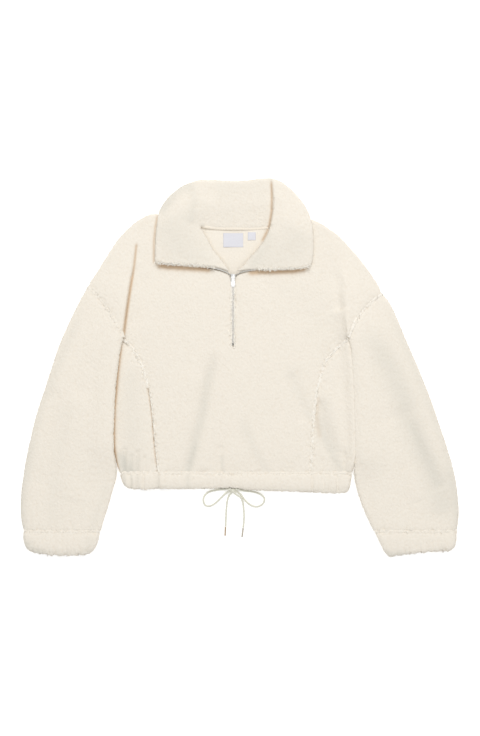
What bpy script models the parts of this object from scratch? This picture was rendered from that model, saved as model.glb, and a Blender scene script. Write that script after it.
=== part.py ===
"""Sherpa fleece pullover with a half zip, laid flat on its back.

The front faces up (+Z), the neck points to +Y and the wearer's right sleeve lies towards -X.
Every cloth piece is one wall of fleece: a sheet of rows and columns with an outer and an inner
face. Tables and driving sizes are in millimetres and become metres when a mesh is made.
"""
import math
from collections import namedtuple

import bmesh
import bpy
from mathutils import Vector

# ---------------------------------------------------------------- driving dimensions (mm)
MM = 0.001
WALL = 6.0             # fleece with its pile
PLY_GAP = 0.6          # between the two plies of a tube that lies flat
AIR = 2.2              # how far the front stands off the back between its seams
SEAM = 0.5             # clearance between sewn pieces
LIP = 4.0              # width of the rounded lip beside a seam
DIP = 1.8              # how far the lip turns down at the seam
PLY = WALL + PLY_GAP                # underside of the upper ply
EDGE_RADIUS = WALL + PLY_GAP / 2    # turn of a flat tube at its fold
TOP = 2 * WALL + PLY_GAP            # top of two plies
AIR_RAMP = 40.0        # how far from a seam or fold the air reaches its full height
LIFT_FADE = 95.0       # how far from a raised fold the upper ply comes down to its own height
UNDER_LIFT_FADE = 42.0   # the same for the ply underneath
FRONT_FLAT_FROM = 150.0  # towards the neck the front lies closer to the back, from this height
FRONT_FLAT_OVER = 50.0
FOLDS_END_Y = 195.0    # no creases in the front above this height
CENTRE_SHIFT = (-0.5, 1.6)          # brings the middle of the outline over the origin

ZIP_X = -14.0          # centre line of the zip
SLIT_HALF = 2.9        # half width of the slit in the front
SLIT_END = 46.0
HEM_Y = -228.0         # seam between the body and the hem casing

FLAP_LOW = TOP + 1.4   # underside of the turned-down collar on the front
STAND_LOW = WALL + 0.9   # underside of the collar's stand over the inside of the back

CORD_DIAMETER = 4.0
CORD_Z = 2.1           # a cord lying on the ground
TIP_DIAMETER = 4.6
TIP_LENGTH = 20.0

# ---------------------------------------------------------------- tables (mm)
Row = namedtuple("Row", "outer_x outer_y crease_x neck_x neck_y lift")
Seam = namedtuple("Seam", "y seam_x edge_x crease_x")
Station = namedtuple("Station", "outer_x outer_y inner_x inner_y rise overlap bow dip")
Fold = namedtuple("Fold", "x0 y0 x1 y1 width depth")
Band = namedtuple("Band", "outer_x outer_y inner_x inner_y low_out low_in top_out top_mid top_in step bow")

# Sections across the yoke, from the shoulder down to the armhole seam; lift is the height of the
# fold that runs from the shoulder to the underarm.
LEFT_SHOULDER = [
    Row(-186, 331, -176, -149, 322, 0.0),
    Row(-212, 320, -190, -148, 312, 0.0),
    Row(-229, 307, -200, -144, 295, 0.0),
    Row(-247, 290, -211, -139, 277, 0.0),
    Row(-264, 271, -218, -132, 258, 0.8),
    Row(-279, 247, -222, -123, 243, 2.5),
    Row(-296, 221, -226, -110, 226, 4.5),
    Row(-309, 200, -229, -88, 215, 6.0),
    Row(-318, 187, -230, -50, 210, 7.0),
]
RIGHT_SHOULDER = [
    Row(156, 317, 148, 134, 314, 0.0),
    Row(177, 307, 158, 131, 303, 0.0),
    Row(197, 295, 170, 126, 288, 0.0),
    Row(218, 277, 185, 119, 273, 0.0),
    Row(232, 262, 196, 112, 261, 0.5),
    Row(249, 243, 210, 102, 245, 1.2),
    Row(267, 221, 216, 92, 228, 2.5),
    Row(283, 200, 220, 75, 217, 4.0),
    Row(297, 179, 222, 38, 212, 5.5),
]
# Armhole seams, from the top of the shoulder to the underarm: both ends and how far they bow
LEFT_ARMHOLE = ((-326, 173), (-249, 63), 8.0)
RIGHT_ARMHOLE = ((307, 158), (233, 64), -11.0)
ARMHOLE_STEPS = (0.0, 0.12, 0.25, 0.4, 0.55, 0.7, 0.85, 1.0)
LEFT_CREASES = (-231, -234, -236, -239, -242, -244, -246, -247)
RIGHT_CREASES = (222, 224, 226, 228, 229, 230, 231, 231)
SLIT_ROWS_Y = (200, 190, 183, 160, 135, 110, 85, 66)
SLIT_HALVES = (7.6, 5.4, SLIT_HALF, SLIT_HALF, SLIT_HALF, SLIT_HALF, SLIT_HALF, SLIT_HALF)
ARMHOLE_LIFTS = (8.0, 9.0, 10.0, 11.0, 12.0, 12.5, 13.0, 13.0)

# Side seams from the underarm to the hem, and the folded edge of the side panel
LEFT_SIDE = [
    Seam(60, -246.5, -256.5, -242),
    Seam(42, -231, -261, -223),
    Seam(28, -222.3, -265.5, -210.5),
    Seam(15, -215, -269, -200),
    Seam(0, -209, -271.8, -191.5),
    Seam(-15, -204, -274, -184),
    Seam(-45, -196, -277, -173),
    Seam(-80, -191, -280, -164),
    Seam(-116, -187, -281, -157),
    Seam(-153, -184, -277, -150),
    Seam(-191, -180, -269, -145),
    Seam(-224, -176.5, -259, -141),
    Seam(HEM_Y, -176, -257, -141),
]
RIGHT_SIDE = [
    Seam(60, 231, 241.5, 227),
    Seam(42, 212, 245, 203),
    Seam(28, 198, 247.2, 186.5),
    Seam(15, 187, 249, 173),
    Seam(0, 180.5, 251.2, 164),
    Seam(-15, 176, 253, 157),
    Seam(-45, 168, 255, 145),
    Seam(-80, 162, 256, 137),
    Seam(-116, 158, 257, 130),
    Seam(-153, 157, 256, 124),
    Seam(-191, 155, 252, 119),
    Seam(-224, 153.3, 243.5, 115),
    Seam(HEM_Y, 153, 242, 115),
]

# Sleeves from the armhole to the cuff: outer and inner fold, how high the inner fold rises on
# the body's side, and how far it lies over it.
LEFT_SLEEVE = [
    Station(-343, 144, -255, 43, 13.5, 8, 2, 0),
    Station(-364, 101, -259, 15, 13.5, 12, 0, 0),
    Station(-384, 58, -263, -15, 13.5, 13, 0, 0),
    Station(-399, 15, -266, -45, 13.5, 13, 0, 0),
    Station(-412, -28, -268, -75, 13.5, 13, 0, 0),
    Station(-427, -71, -269, -105, 13.5, 13, 0, 0),
    Station(-440, -114, -270, -135, 13.5, 12, 0, 0),
    Station(-450, -157, -271, -168, 13.5, 8, 0, 0),
    Station(-459, -196, -268, -200, 8.0, 3, 0, 0),
    Station(-464, -232, -261.5, -232, 1.0, 2, 0, 0),
    Station(-469, -264, -273, -264, 0.0, 2, 0, 0),
    Station(-471, -297, -282, -297, 0.0, 2, 0, 0),
    Station(-470, -325, -292, -325, 0.0, 2, 0, 0),
    Station(-464, -353, -300, -353, 0.0, 2, 0, 0),
]
RIGHT_SLEEVE = [
    Station(324, 138, 239, 43, 13.5, 8, -3, 0),
    Station(341, 101, 240, 15, 13.5, 11, 0, 0),
    Station(358, 58, 241, -15, 13.5, 14, 0, 0),
    Station(377, 15, 243, -45, 13.5, 14, 0, 0),
    Station(395, -28, 244, -75, 13.5, 14, 0, 0),
    Station(412, -71, 245, -105, 13.5, 14, 0, 0),
    Station(427, -114, 246, -135, 13.5, 12, 0, 0),
    Station(441, -157, 247, -168, 13.5, 9, 0, 0),
    Station(454, -196, 248, -200, 12.5, 4, 0, 0),
    Station(463, -232, 246, -232, 3.0, 2, 0, 0),
    Station(468, -264, 253, -264, 0.0, 2, 0, 0),
    Station(472, -297, 263, -297, 0.0, 2, 0, 0),
    Station(471, -325, 276, -325, 0.0, 2, 0, 0),
    Station(468, -353, 289, -353, 0.0, 2, 0, 0),
]
LEFT_CUFF = [
    Station(-463, -353.6, -301, -353.6, 0, 2, 0, DIP),
    Station(-466, -358, -301, -358, 0, 2, 0, 0),
    Station(-465, -370, -304, -370, 0, 2, -1, -1.5),
    Station(-462, -384, -308, -386, 0, 2, -3, -1.0),
    Station(-458, -391, -313, -394, 0, 2, -5, 0.2),
    Station(-450, -397.5, -321, -402, 0, 2, -6, 2.2),
]
RIGHT_CUFF = [
    Station(467, -353.6, 291, -353.6, 0, 2, 0, DIP),
    Station(468, -358, 293, -358, 0, 2, 0, 0),
    Station(467, -370, 299, -370, 0, 2, 0, -1.5),
    Station(465, -383, 307, -388, 0, 2, -1, -1.0),
    Station(461, -390, 313, -399, 0, 2, -2, 0.2),
    Station(452, -395.5, 325, -409, 0, 2, -3, 2.2),
]
HEM_CASING = [
    Station(-255, HEM_Y - SEAM, 241, HEM_Y - SEAM, 0, 2, 0, DIP),
    Station(-256, -233, 241, -233, 0, 2, 0, 0),
    Station(-254, -243, 240, -244, 0, 2, 0, -1.2),
    Station(-249, -254, 237, -260, 0, 2, 0, -0.5),
    Station(-239, -261, 230, -270, 0, 2, 0, 2.0),
]

# Soft troughs (below zero) and ridges in the upper ply
FRONT_FOLDS = [
    Fold(-55, 24, -94, -146, 16, -2.0),
    Fold(-94, -146, -110, -226, 15, -1.2),
    Fold(-75, 30, -118, -150, 22, 1.6),
    Fold(-40, -130, -41, -226, 11, -1.3),
    Fold(130, 0, 145, -95, 13, -1.5),
    Fold(ZIP_X, 180, ZIP_X, 44, 9, -1.8),
    Fold(ZIP_X, 40, -34, 12, 9, -1.2),
    Fold(60, 120, 20, -140, 45, 1.2),
]
SIDE_FOLDS = [
    Fold(-244, -180, -246, -226, 5, -1.4),
    Fold(-218, -186, -219, -226, 5, -1.5),
    Fold(-203, -195, -204, -226, 4, -1.0),
    Fold(163, -85, 196, -188, 13, -2.0),
    Fold(225, -185, 224, -226, 6, -1.4),
    Fold(196, -196, 196, -226, 5, -1.2),
    Fold(178, -190, 176, -226, 5, -1.2),
]
SLEEVE_FOLDS = [
    Fold(341, -60, 382, -163, 20, -2.6),
    Fold(382, -163, 429, -270, 22, -2.8),
    Fold(330, -120, 385, -290, 26, 1.6),
    Fold(-395, -40, -432, -190, 22, -1.8),
    Fold(-432, -190, -440, -300, 20, -1.6),
    Fold(-345, -60, -360, -300, 36, 1.6),
    Fold(-300, 60, -340, -60, 16, -1.4),
    Fold(286, 60, 330, -40, 16, -1.4),
    Fold(-400, -300, -402, -350, 9, -1.8),
    Fold(-352, -305, -348, -350, 9, -1.8),
    Fold(420, -310, 424, -350, 9, -1.6),
    Fold(352, -305, 346, -350, 9, -1.8),
]

# The collar is one band that is turned down: sections from the left zip edge round the back of
# the neck to the right zip edge. On the flaps the section runs from the free edge to the roll,
# at the back from the roll to the neck seam.
COLLAR = [
    Band(-180, 221, -20.5, 203.5, FLAP_LOW, FLAP_LOW, 20.0, 20.5, 17.5, 0.6, 3),
    Band(-181, 229, -26, 208, FLAP_LOW, FLAP_LOW, 20.5, 21.2, 18.0, 0.6, 2),
    Band(-181, 232, -29, 212, FLAP_LOW, STAND_LOW, 20.5, 21.2, 16.0, 0.58, 1),
    Band(-181, 252, -54, 247, FLAP_LOW, STAND_LOW, 20.5, 21.5, 13.5, 0.46, 0),
    Band(-179, 282, -67, 271, FLAP_LOW, STAND_LOW, 20.5, 22.0, 13.0, 0.39, 0),
    Band(-176, 312, -78, 289, FLAP_LOW, STAND_LOW, 20.5, 22.0, 13.0, 0.32, 0),
    Band(-172.5, 332, -85, 301.8, FLAP_LOW, STAND_LOW, 19.5, 22.0, 13.0, 0.28, 0),
    Band(-172, 334, -85, 301.6, 0, 0, 19.3, 22.0, 13.0, 0.28, 0),
    Band(-156, 361.5, -84.6, 301.5, 0, 0, 17.0, 21.5, 13.0, 0.3, 0),
    Band(-126, 387, -84, 301.4, 0, 0, 15.5, 20.0, 12.5, 0.3, 0),
    Band(-92, 401, -82, 301.3, 0, 0, 14.5, 17.5, 10.5, 0.4, 0),
    Band(-72, 402, -70, 300.2, 0, 0, 14.0, 15.0, 7.5, 0.5, 0),
    Band(-48, 401.5, -48, 299.0, 0, 0, 13.0, 13.2, 6.6, 0.5, 0),
    Band(-10, 399, -10, 297.2, 0, 0, 13.0, 12.6, 6.4, 0.5, 0),
    Band(33, 403.5, 33, 298.4, 0, 0, 13.0, 13.0, 6.6, 0.5, 2),
    Band(60, 405.5, 60, 299.4, 0, 0, 13.5, 13.2, 6.6, 0.5, 6),
    Band(66, 405.5, 64, 299.7, 0, 0, 14.0, 13.5, 7.0, 0.5, 8),
    Band(68, 405.6, 66, 300.0, 0, 0, 17.0, 22.0, 20.0, 0.4, 8),
    Band(82, 401.5, 67, 300.3, 0, 0, 17.0, 22.5, 21.0, 0.3, 5),
    Band(98, 392, 67.4, 300.6, 0, 0, 16.0, 22.0, 21.0, 0.3, 2),
    Band(124, 368, 67.4, 300.8, 0, 0, 16.0, 21.5, 21.0, 0.3, 0),
    Band(143, 343, 67.2, 300.7, 0, 0, 17.5, 21.5, 20.5, 0.3, 0),
    Band(151, 323.5, 67, 300.4, 0, 0, 19.0, 21.5, 20.5, 0.23, 0),
    Band(151.5, 321.5, 66.6, 299.6, FLAP_LOW, STAND_LOW, 19.5, 21.5, 20.5, 0.23, 0),
    Band(156, 306, 62, 288, FLAP_LOW, STAND_LOW, 20.5, 21.5, 20.5, 0.32, 0),
    Band(158, 280, 55, 272, FLAP_LOW, STAND_LOW, 20.5, 21.5, 20.5, 0.42, 0),
    Band(159, 250, 37, 251, FLAP_LOW, STAND_LOW, 20.5, 21.2, 20.3, 0.47, 0),
    Band(156, 228, 13, 217, FLAP_LOW, STAND_LOW, 20.5, 21.0, 19.8, 0.56, 0),
    Band(155, 224, 9, 213.5, FLAP_LOW, FLAP_LOW, 20.5, 21.0, 19.5, 0.6, 0),
    Band(149, 213, -6.5, 203.8, FLAP_LOW, FLAP_LOW, 20.0, 20.5, 18.0, 0.6, 2),
]
BACK_NECK_LEFT = [(-149, 322), (-118, 312), (-85, 300.6)]
BACK_NECK_RIGHT = [(134, 314), (98, 306), (66, 299.0)]
BACK_NECK_CENTRE_Y = 296.4

# Routes of the drawcord's bow on the ground: x, y, z
LOOP_LEFT = [(-23.4, -262.9, 8.0), (-33, -263.6, 5.0), (-48, -265, CORD_Z), (-67, -270, CORD_Z),
             (-77, -281, CORD_Z), (-76, -295, CORD_Z), (-67, -300, CORD_Z), (-54, -295, CORD_Z),
             (-41, -283, CORD_Z), (-31, -273.5, 3.2), (-24, -268.6, 4.6)]
LOOP_RIGHT = [(-4.6, -262.9, 8.0), (4, -265.4, 5.0), (15, -267.4, CORD_Z), (31, -269.4, CORD_Z),
              (46, -275, CORD_Z), (54, -284, CORD_Z), (50, -295, CORD_Z), (38, -301, CORD_Z),
              (24, -297.5, CORD_Z), (12, -287, CORD_Z), (4, -276.5, CORD_Z), (-3.6, -269.4, 4.2)]
END_LEFT = [(-18.2, -271.2, 5.4), (-22.5, -277, 3.2), (-26, -287, CORD_Z), (-28, -304, CORD_Z),
            (-29, -323, CORD_Z), (-30, -343.6, TIP_DIAMETER / 2)]
END_RIGHT = [(-10.0, -271.8, 7.4), (-5, -276, 7.6), (3, -281.5, 7.0), (7.6, -292, 4.0),
             (9, -306, CORD_Z), (10, -322, CORD_Z), (9, -338, CORD_Z), (8, -346.6, TIP_DIAMETER / 2)]
KNOT_CENTRE = (-14, -266.2, 6.6)
KNOT_RADII = (8.0, 5.6, 5.0)

COLOURS = {
    "fleece": ((0.88, 0.81, 0.70, 1.0), 0.95, 0.0),
    "zip_tape": ((0.80, 0.75, 0.66, 1.0), 0.85, 0.0),
    "metal": ((0.62, 0.62, 0.60, 1.0), 0.3, 1.0),
    "label": ((0.88, 0.88, 0.90, 1.0), 0.6, 0.0),
    "cord": ((0.85, 0.83, 0.76, 1.0), 0.8, 0.0),
    "tip": ((0.62, 0.55, 0.48, 1.0), 0.4, 0.6),
}


# ---------------------------------------------------------------- scene and materials
def clear_scene():
    """Remove what the file holds."""
    for item in list(bpy.data.objects):
        bpy.data.objects.remove(item, do_unlink=True)


def new_collection(name):
    """A collection linked to the scene."""
    collection = bpy.data.collections.new(name)
    bpy.context.scene.collection.children.link(collection)
    return collection


def finish_material(finish, name):
    """The piece's own material in one of the named finishes."""
    colour, roughness, metallic = COLOURS[finish]
    material = bpy.data.materials.new(name)
    material.use_nodes = True
    shader = material.node_tree.nodes["Principled BSDF"]
    shader.inputs["Base Color"].default_value = colour
    shader.inputs["Roughness"].default_value = roughness
    shader.inputs["Metallic"].default_value = metallic
    return material


def add_mesh_object(name, mesh, finish, collection):
    """Link a mesh as a named sub-part with its material."""
    item = bpy.data.objects.new(name, mesh)
    collection.objects.link(item)
    mesh.materials.append(finish_material(finish, name + "_finish"))
    return item


# ---------------------------------------------------------------- small geometry helpers
def lerp(a, b, t):
    """Value a share t of the way from a to b."""
    return a + (b - a) * t


def smooth(t):
    """Ease from 0 to 1 as t goes from 0 to 1."""
    t = min(max(t, 0.0), 1.0)
    return t * t * (3 - 2 * t)


def bowed(start, end, bow, share):
    """Point on a shallow arc from start to end that stands off its chord by bow at the middle."""
    along = Vector(end) - Vector(start)
    across = Vector((-along.y, along.x)).normalized()
    return Vector(start) + along * share + across * (bow * 4 * share * (1 - share))


def fold_height(folds, x, y):
    """Sum of the soft troughs and ridges at a place."""
    height = 0.0
    for fold in folds:
        start = Vector((fold.x0, fold.y0))
        along = Vector((fold.x1, fold.y1)) - start
        share = (Vector((x, y)) - start).dot(along) / along.length_squared
        nearest = start + along * min(max(share, 0.0), 1.0)
        away = (Vector((x, y)) - nearest).length
        ends = smooth(1.25 - 2.0 * abs(min(max(share, -0.2), 1.2) - 0.5))
        height += fold.depth * math.exp(-(away / fold.width) ** 2) * ends
    return height


def inside_share(distance, width):
    """0 at an edge, 1 from width away."""
    return smooth(distance / width)


# ---------------------------------------------------------------- one wall from two faces
def shell(name, outer, inner, quads, finish, collection):
    """Closed wall: outer and inner faces over the same grid of keys, joined round the rim."""
    keys = sorted(outer)
    index = {key: number for number, key in enumerate(keys)}
    count = len(keys)
    shift = Vector((CENTRE_SHIFT[0], CENTRE_SHIFT[1], 0.0))
    points = [(Vector(outer[key]) + shift) * MM for key in keys]
    points += [(Vector(inner[key]) + shift) * MM for key in keys]
    faces = []
    used = {}
    for quad in quads:
        ring = [index[key] for key in quad]
        faces.append(ring)
        faces.append([number + count for number in reversed(ring)])
        for first, second in zip(ring, ring[1:] + ring[:1]):
            used[(first, second)] = True
    for first, second in used:
        if (second, first) not in used:
            faces.append([second, first, first + count, second + count])
    mesh = bpy.data.meshes.new(name)
    mesh.from_pydata(points, [], faces)
    build = bmesh.new()
    build.from_mesh(mesh)
    bmesh.ops.triangulate(build, faces=build.faces[:])
    bmesh.ops.recalc_face_normals(build, faces=build.faces[:])
    build.to_mesh(mesh)
    build.free()
    mesh.shade_smooth()
    mesh.set_sharp_from_angle(angle=math.radians(50))
    return add_mesh_object(name, mesh, finish, collection)


def grid_quads(rows, columns, closed=False):
    """Quads over (row, column) keys; a closed grid joins its last column to its first."""
    last = columns if closed else columns - 1
    return [((row, column), (row + 1, column), (row + 1, (column + 1) % columns),
             (row, (column + 1) % columns))
            for row in range(rows - 1) for column in range(last)]


def grid_shell(name, outer_rows, inner_rows, finish, collection, closed=False):
    """Closed wall from rows of outer and inner points."""
    outer = {}
    inner = {}
    for row, (outer_row, inner_row) in enumerate(zip(outer_rows, inner_rows)):
        for column, (outer_point, inner_point) in enumerate(zip(outer_row, inner_row)):
            outer[(row, column)] = outer_point
            inner[(row, column)] = inner_point
    quads = grid_quads(len(outer_rows), len(outer_rows[0]), closed)
    return shell(name, outer, inner, quads, finish, collection)


# ---------------------------------------------------------------- front and back
CREASE_NARROWS_FROM = 150.0   # the folds from the shoulders tighten towards the underarms
CREASE_NARROWS_OVER = 90.0


def body_rows(shoulder, armhole, creases, side, facing):
    """Rows of one half of the body: shoulder, armhole and side seam; facing is -1 left, 1 right."""
    rows = list(shoulder)
    start, end, bow = armhole
    for number, share in enumerate(ARMHOLE_STEPS):
        place = bowed(start, end, bow, share)
        neck_x = ZIP_X + facing * SLIT_HALVES[number]
        rows.append(Row(place.x, place.y, creases[number], neck_x, SLIT_ROWS_Y[number],
                        ARMHOLE_LIFTS[number]))
    for number, seam in enumerate(side):
        slit = SLIT_HALF if number == 0 else 0.0
        centre_y = (SLIT_END, SLIT_END - 5)[number] if number < 2 else seam.y
        rows.append(Row(seam.seam_x - facing * SEAM / 2, seam.y, seam.crease_x,
                        ZIP_X + facing * slit, centre_y, 0.0))
    return rows


def front_columns(row, facing, crease_width):
    """Points across one half of the front, from the outer seam to the neck or the zip."""
    outer = row.outer_x
    crease = row.crease_x
    neck = row.neck_x
    lip = min(LIP, abs(crease - outer) * 0.4)
    step = min(crease_width, abs(neck - crease) * 0.2)
    end_lip = min(LIP, abs(neck - crease) * 0.2)
    places = [outer, outer - facing * lip, lerp(outer, crease, 0.6), crease, crease - facing * step]
    first = crease - facing * step
    places += [lerp(first, neck, share) for share in (0.12, 0.3, 0.5, 0.7, 0.85)]
    places += [neck + facing * end_lip, neck]
    span = neck - outer
    return [(x, lerp(row.outer_y, row.neck_y, (x - outer) / span)) for x in places]


def front_top(x, y, from_edge, row, facing):
    """Height of the front's outer face."""
    air = AIR * inside_share(from_edge, 1.5 * AIR_RAMP) * inside_share(y - HEM_Y, AIR_RAMP)
    air *= 1.0 - 0.85 * smooth((y - FRONT_FLAT_FROM) / FRONT_FLAT_OVER)
    height = TOP + air
    if y < FOLDS_END_Y:
        height += fold_height(FRONT_FOLDS, x, y)
    beyond = facing * (x - row.crease_x)
    if beyond >= -0.01:
        height += row.lift * (1.0 - smooth(beyond / LIFT_FADE))
    return max(height, TOP + 0.1)


def make_front(collection):
    """The front: one wall with the neck opening and the slit for the zip."""
    outer = {}
    inner = {}
    quads = []
    halves = (
        (-1, body_rows(LEFT_SHOULDER, LEFT_ARMHOLE, LEFT_CREASES, LEFT_SIDE, -1), 1.6),
        (1, body_rows(RIGHT_SHOULDER, RIGHT_ARMHOLE, RIGHT_CREASES, RIGHT_SIDE, 1), 15.0),
    )
    for facing, rows, crease_width in halves:
        open_rows = len(LEFT_SHOULDER) + len(ARMHOLE_STEPS) + 1
        keys = []
        for number, row in enumerate(rows):
            towards_underarm = smooth((CREASE_NARROWS_FROM - row.outer_y) / CREASE_NARROWS_OVER)
            columns = front_columns(row, facing, crease_width * (1.0 - 0.8 * towards_underarm))
            line = []
            last = len(columns) - 1
            for column, (x, y) in enumerate(columns):
                closed_here = column == last and number >= open_rows
                key = (number, "centre") if closed_here else (number, f"{facing}{column:02d}")
                from_edge = abs(x - row.outer_x)
                top = front_top(x, y, from_edge, row, facing)
                rim = column == 0 or (column == last and not closed_here) or number == 0
                rim = rim or number == len(rows) - 1
                outer[key] = (x, y, top - (DIP if rim else 0.0))
                low = max(top - WALL - row.lift, PLY)
                inner[key] = (x, y, min(low, top - 3.0))
                line.append(key)
            keys.append(line)
        for upper, lower in zip(keys, keys[1:]):
            for column in range(len(upper) - 1):
                quad = (upper[column], lower[column], lower[column + 1], upper[column + 1])
                quads.append(quad if facing < 0 else tuple(reversed(quad)))
    return shell("front_panel", outer, inner, quads, "fleece", collection)


def make_back(collection):
    """The back: one flat wall on the ground, with the back neckline cut out of its upper edge."""
    outer = {}
    inner = {}
    quads = []
    halves = (
        (-1, body_rows(LEFT_SHOULDER, LEFT_ARMHOLE, LEFT_CREASES, LEFT_SIDE, -1), BACK_NECK_LEFT),
        (1, body_rows(RIGHT_SHOULDER, RIGHT_ARMHOLE, RIGHT_CREASES, RIGHT_SIDE, 1),
         BACK_NECK_RIGHT),
    )
    centre_y = [0.5 * (left.outer_y + right.outer_y)
                for left, right in zip(halves[0][1], halves[1][1])]
    open_rows = len(BACK_NECK_LEFT)
    centre_y[open_rows] = BACK_NECK_CENTRE_Y
    for facing, rows, neck in halves:
        keys = []
        for number, row in enumerate(rows):
            is_open = number < open_rows
            end = neck[number] if is_open else (ZIP_X, centre_y[number])
            line = []
            for column, share in enumerate((0.0, None, 0.35, 0.7, 1.0)):
                if share is None:
                    share = min(0.3, LIP / abs(end[0] - row.outer_x))
                joined = share == 1.0 and not is_open
                key = (number, "centre") if joined else (number, f"{facing}{column}")
                x = lerp(row.outer_x, end[0], share)
                y = lerp(row.outer_y, end[1], share)
                rim = column == 0 or number in (0, len(rows) - 1)
                inner[key] = (x, y, WALL - (0.6 if rim else 0.0))
                outer[key] = (x, y, 0.0)
                line.append(key)
            keys.append(line)
        for upper, lower in zip(keys, keys[1:]):
            for column in range(len(upper) - 1):
                quad = (upper[column], lower[column], lower[column + 1], upper[column + 1])
                quads.append(quad if facing > 0 else tuple(reversed(quad)))
    return shell("back_panel", outer, inner, quads, "fleece", collection)


# ---------------------------------------------------------------- side panels
def make_side_panel(name, side, facing, collection):
    """A side panel: it runs from the front seam round the folded edge to the back seam."""
    outer_rows = []
    inner_rows = []
    for number, seam in enumerate(side):
        start = seam.seam_x + facing * SEAM / 2
        width = abs(seam.edge_x - start)
        end_row = number in (0, len(side) - 1)
        dip = DIP if end_row else 0.0
        flat = width - EDGE_RADIUS
        outer = []
        inner = []
        for distance in (0.0, min(LIP, flat * 0.4), flat * 0.45, flat * 0.72, flat):
            air = 0.7 * AIR * inside_share(distance, 0.75 * AIR_RAMP)
            air *= inside_share(flat - distance, 0.6 * AIR_RAMP) * inside_share(seam.y - HEM_Y, AIR_RAMP)
            x = start + facing * distance
            height = TOP + air
            height = max(height + fold_height(SIDE_FOLDS, x, seam.y), TOP - 1.2)
            rim = distance == 0.0 or end_row
            outer.append((x, seam.y, height - (DIP if rim and distance < flat else 0.0)))
            inner.append((x, seam.y, max(height - WALL, PLY)))
        for degrees in (60, 25, -25, -60):
            angle = math.radians(degrees)
            radius = EDGE_RADIUS - dip * 0.3
            outer.append((start + facing * (flat + radius * math.cos(angle)), seam.y,
                          EDGE_RADIUS + EDGE_RADIUS * math.sin(angle)))
            inner.append((start + facing * (flat + PLY_GAP / 2 * math.cos(angle)), seam.y,
                          EDGE_RADIUS + PLY_GAP / 2 * math.sin(angle)))
        for distance in (flat, flat * 0.5, 0.0):
            x = start + facing * distance
            outer.append((x, seam.y, 0.0))
            inner.append((x, seam.y, WALL))
        outer_rows.append(outer)
        inner_rows.append(inner)
    return grid_shell(name, outer_rows, inner_rows, "fleece", collection)


# ---------------------------------------------------------------- flat tubes: sleeves, cuffs, hem
SLEEVE_UPPER = (0.0, 0.05, 0.14, 0.26, 0.4, 0.54, 0.68, 0.8, 0.89, 0.95, 1.0)
SLEEVE_LOWER = (1.0, 0.94, 0.86, 0.74, 0.5, 0.2, 0.0)


def under_lift(station, from_inner):
    """How far the lower ply is off the ground where the tube lies over another piece."""
    past_overlap = from_inner - EDGE_RADIUS - station.overlap
    return station.rise * (1.0 - smooth(past_overlap / UNDER_LIFT_FADE))


def tube_ring(station, upper, lower, air, folds, wave):
    """Outer and inner rings of a flat tube at one station, from its outer to its inner fold."""
    start = Vector((station.outer_x, station.outer_y))
    end = Vector((station.inner_x, station.inner_y))
    width = (end - start).length
    flat = width - 2 * EDGE_RADIUS

    def plan(distance):
        place = bowed(start, end, station.bow, distance / width)
        return place + Vector((0.0, wave(place.x)))

    outer = []
    inner = []
    for share in upper:
        distance = EDGE_RADIUS + flat * share
        place = plan(distance)
        from_inner = width - distance
        lift = station.rise * (1.0 - smooth((from_inner - EDGE_RADIUS) / LIFT_FADE))
        low_lift = under_lift(station, from_inner)
        height = TOP + lift + air * inside_share(distance, AIR_RAMP) * inside_share(from_inner, AIR_RAMP)
        height += fold_height(folds, place.x, place.y) * inside_share(distance, 25.0)
        height = max(height, TOP + low_lift)
        outer.append((place.x, place.y, height - station.dip))
        inner.append((place.x, place.y, max(height - WALL, low_lift + PLY)))
    for side, degrees_list in ((1, (60, 25, -25, -60)), (-1, (-120, -155, 155, 120))):
        centre = EDGE_RADIUS + (flat if side == 1 else 0.0)
        base = EDGE_RADIUS + (station.rise if side == 1 else 0.0)
        arc_outer = []
        arc_inner = []
        for degrees in degrees_list:
            angle = math.radians(degrees)
            radius = EDGE_RADIUS - max(station.dip, 0.0) * 0.3
            place = plan(centre + radius * math.cos(angle))
            arc_outer.append((place.x, place.y, base + EDGE_RADIUS * math.sin(angle)
                              - max(station.dip, 0.0) * max(math.sin(angle), 0.0)))
            place = plan(centre + PLY_GAP / 2 * math.cos(angle))
            arc_inner.append((place.x, place.y, base + PLY_GAP / 2 * math.sin(angle)))
        if side == 1:
            outer += arc_outer
            inner += arc_inner
            for share in lower:
                distance = EDGE_RADIUS + flat * share
                place = plan(distance)
                from_inner = width - distance
                low_lift = under_lift(station, from_inner)
                outer.append((place.x, place.y, low_lift))
                inner.append((place.x, place.y, low_lift + WALL))
        else:
            outer += arc_outer
            inner += arc_inner
    return outer, inner


def between(first, second, share):
    """Station a share of the way between two stations."""
    return Station(*[lerp(a, b, share) for a, b in zip(first, second)])


def with_seam_stations(stations):
    """Add a full-height station one lip in from each end and turn the ends down."""
    first, second = stations[0], stations[1]
    reach = (Vector(first[:2]) - Vector(second[:2])).length
    start = between(first, second, LIP / reach)
    last, before = stations[-1], stations[-2]
    reach = (Vector(last[:2]) - Vector(before[:2])).length
    end = between(last, before, LIP / reach)
    return ([first._replace(dip=DIP), start] + list(stations[1:-1]) + [end, last._replace(dip=DIP)])


def make_flat_tube(name, stations, upper, lower, air, folds, wave, collection):
    """A sleeve, cuff or hem: a flattened tube open at both ends."""
    outer_rows = []
    inner_rows = []
    for station in stations:
        outer, inner = tube_ring(station, upper, lower, air, folds, wave)
        outer_rows.append(outer)
        inner_rows.append(inner)
    return grid_shell(name, outer_rows, inner_rows, "fleece", collection, closed=True)


def level(x):
    """No waves in an edge."""
    return 0.0


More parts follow.
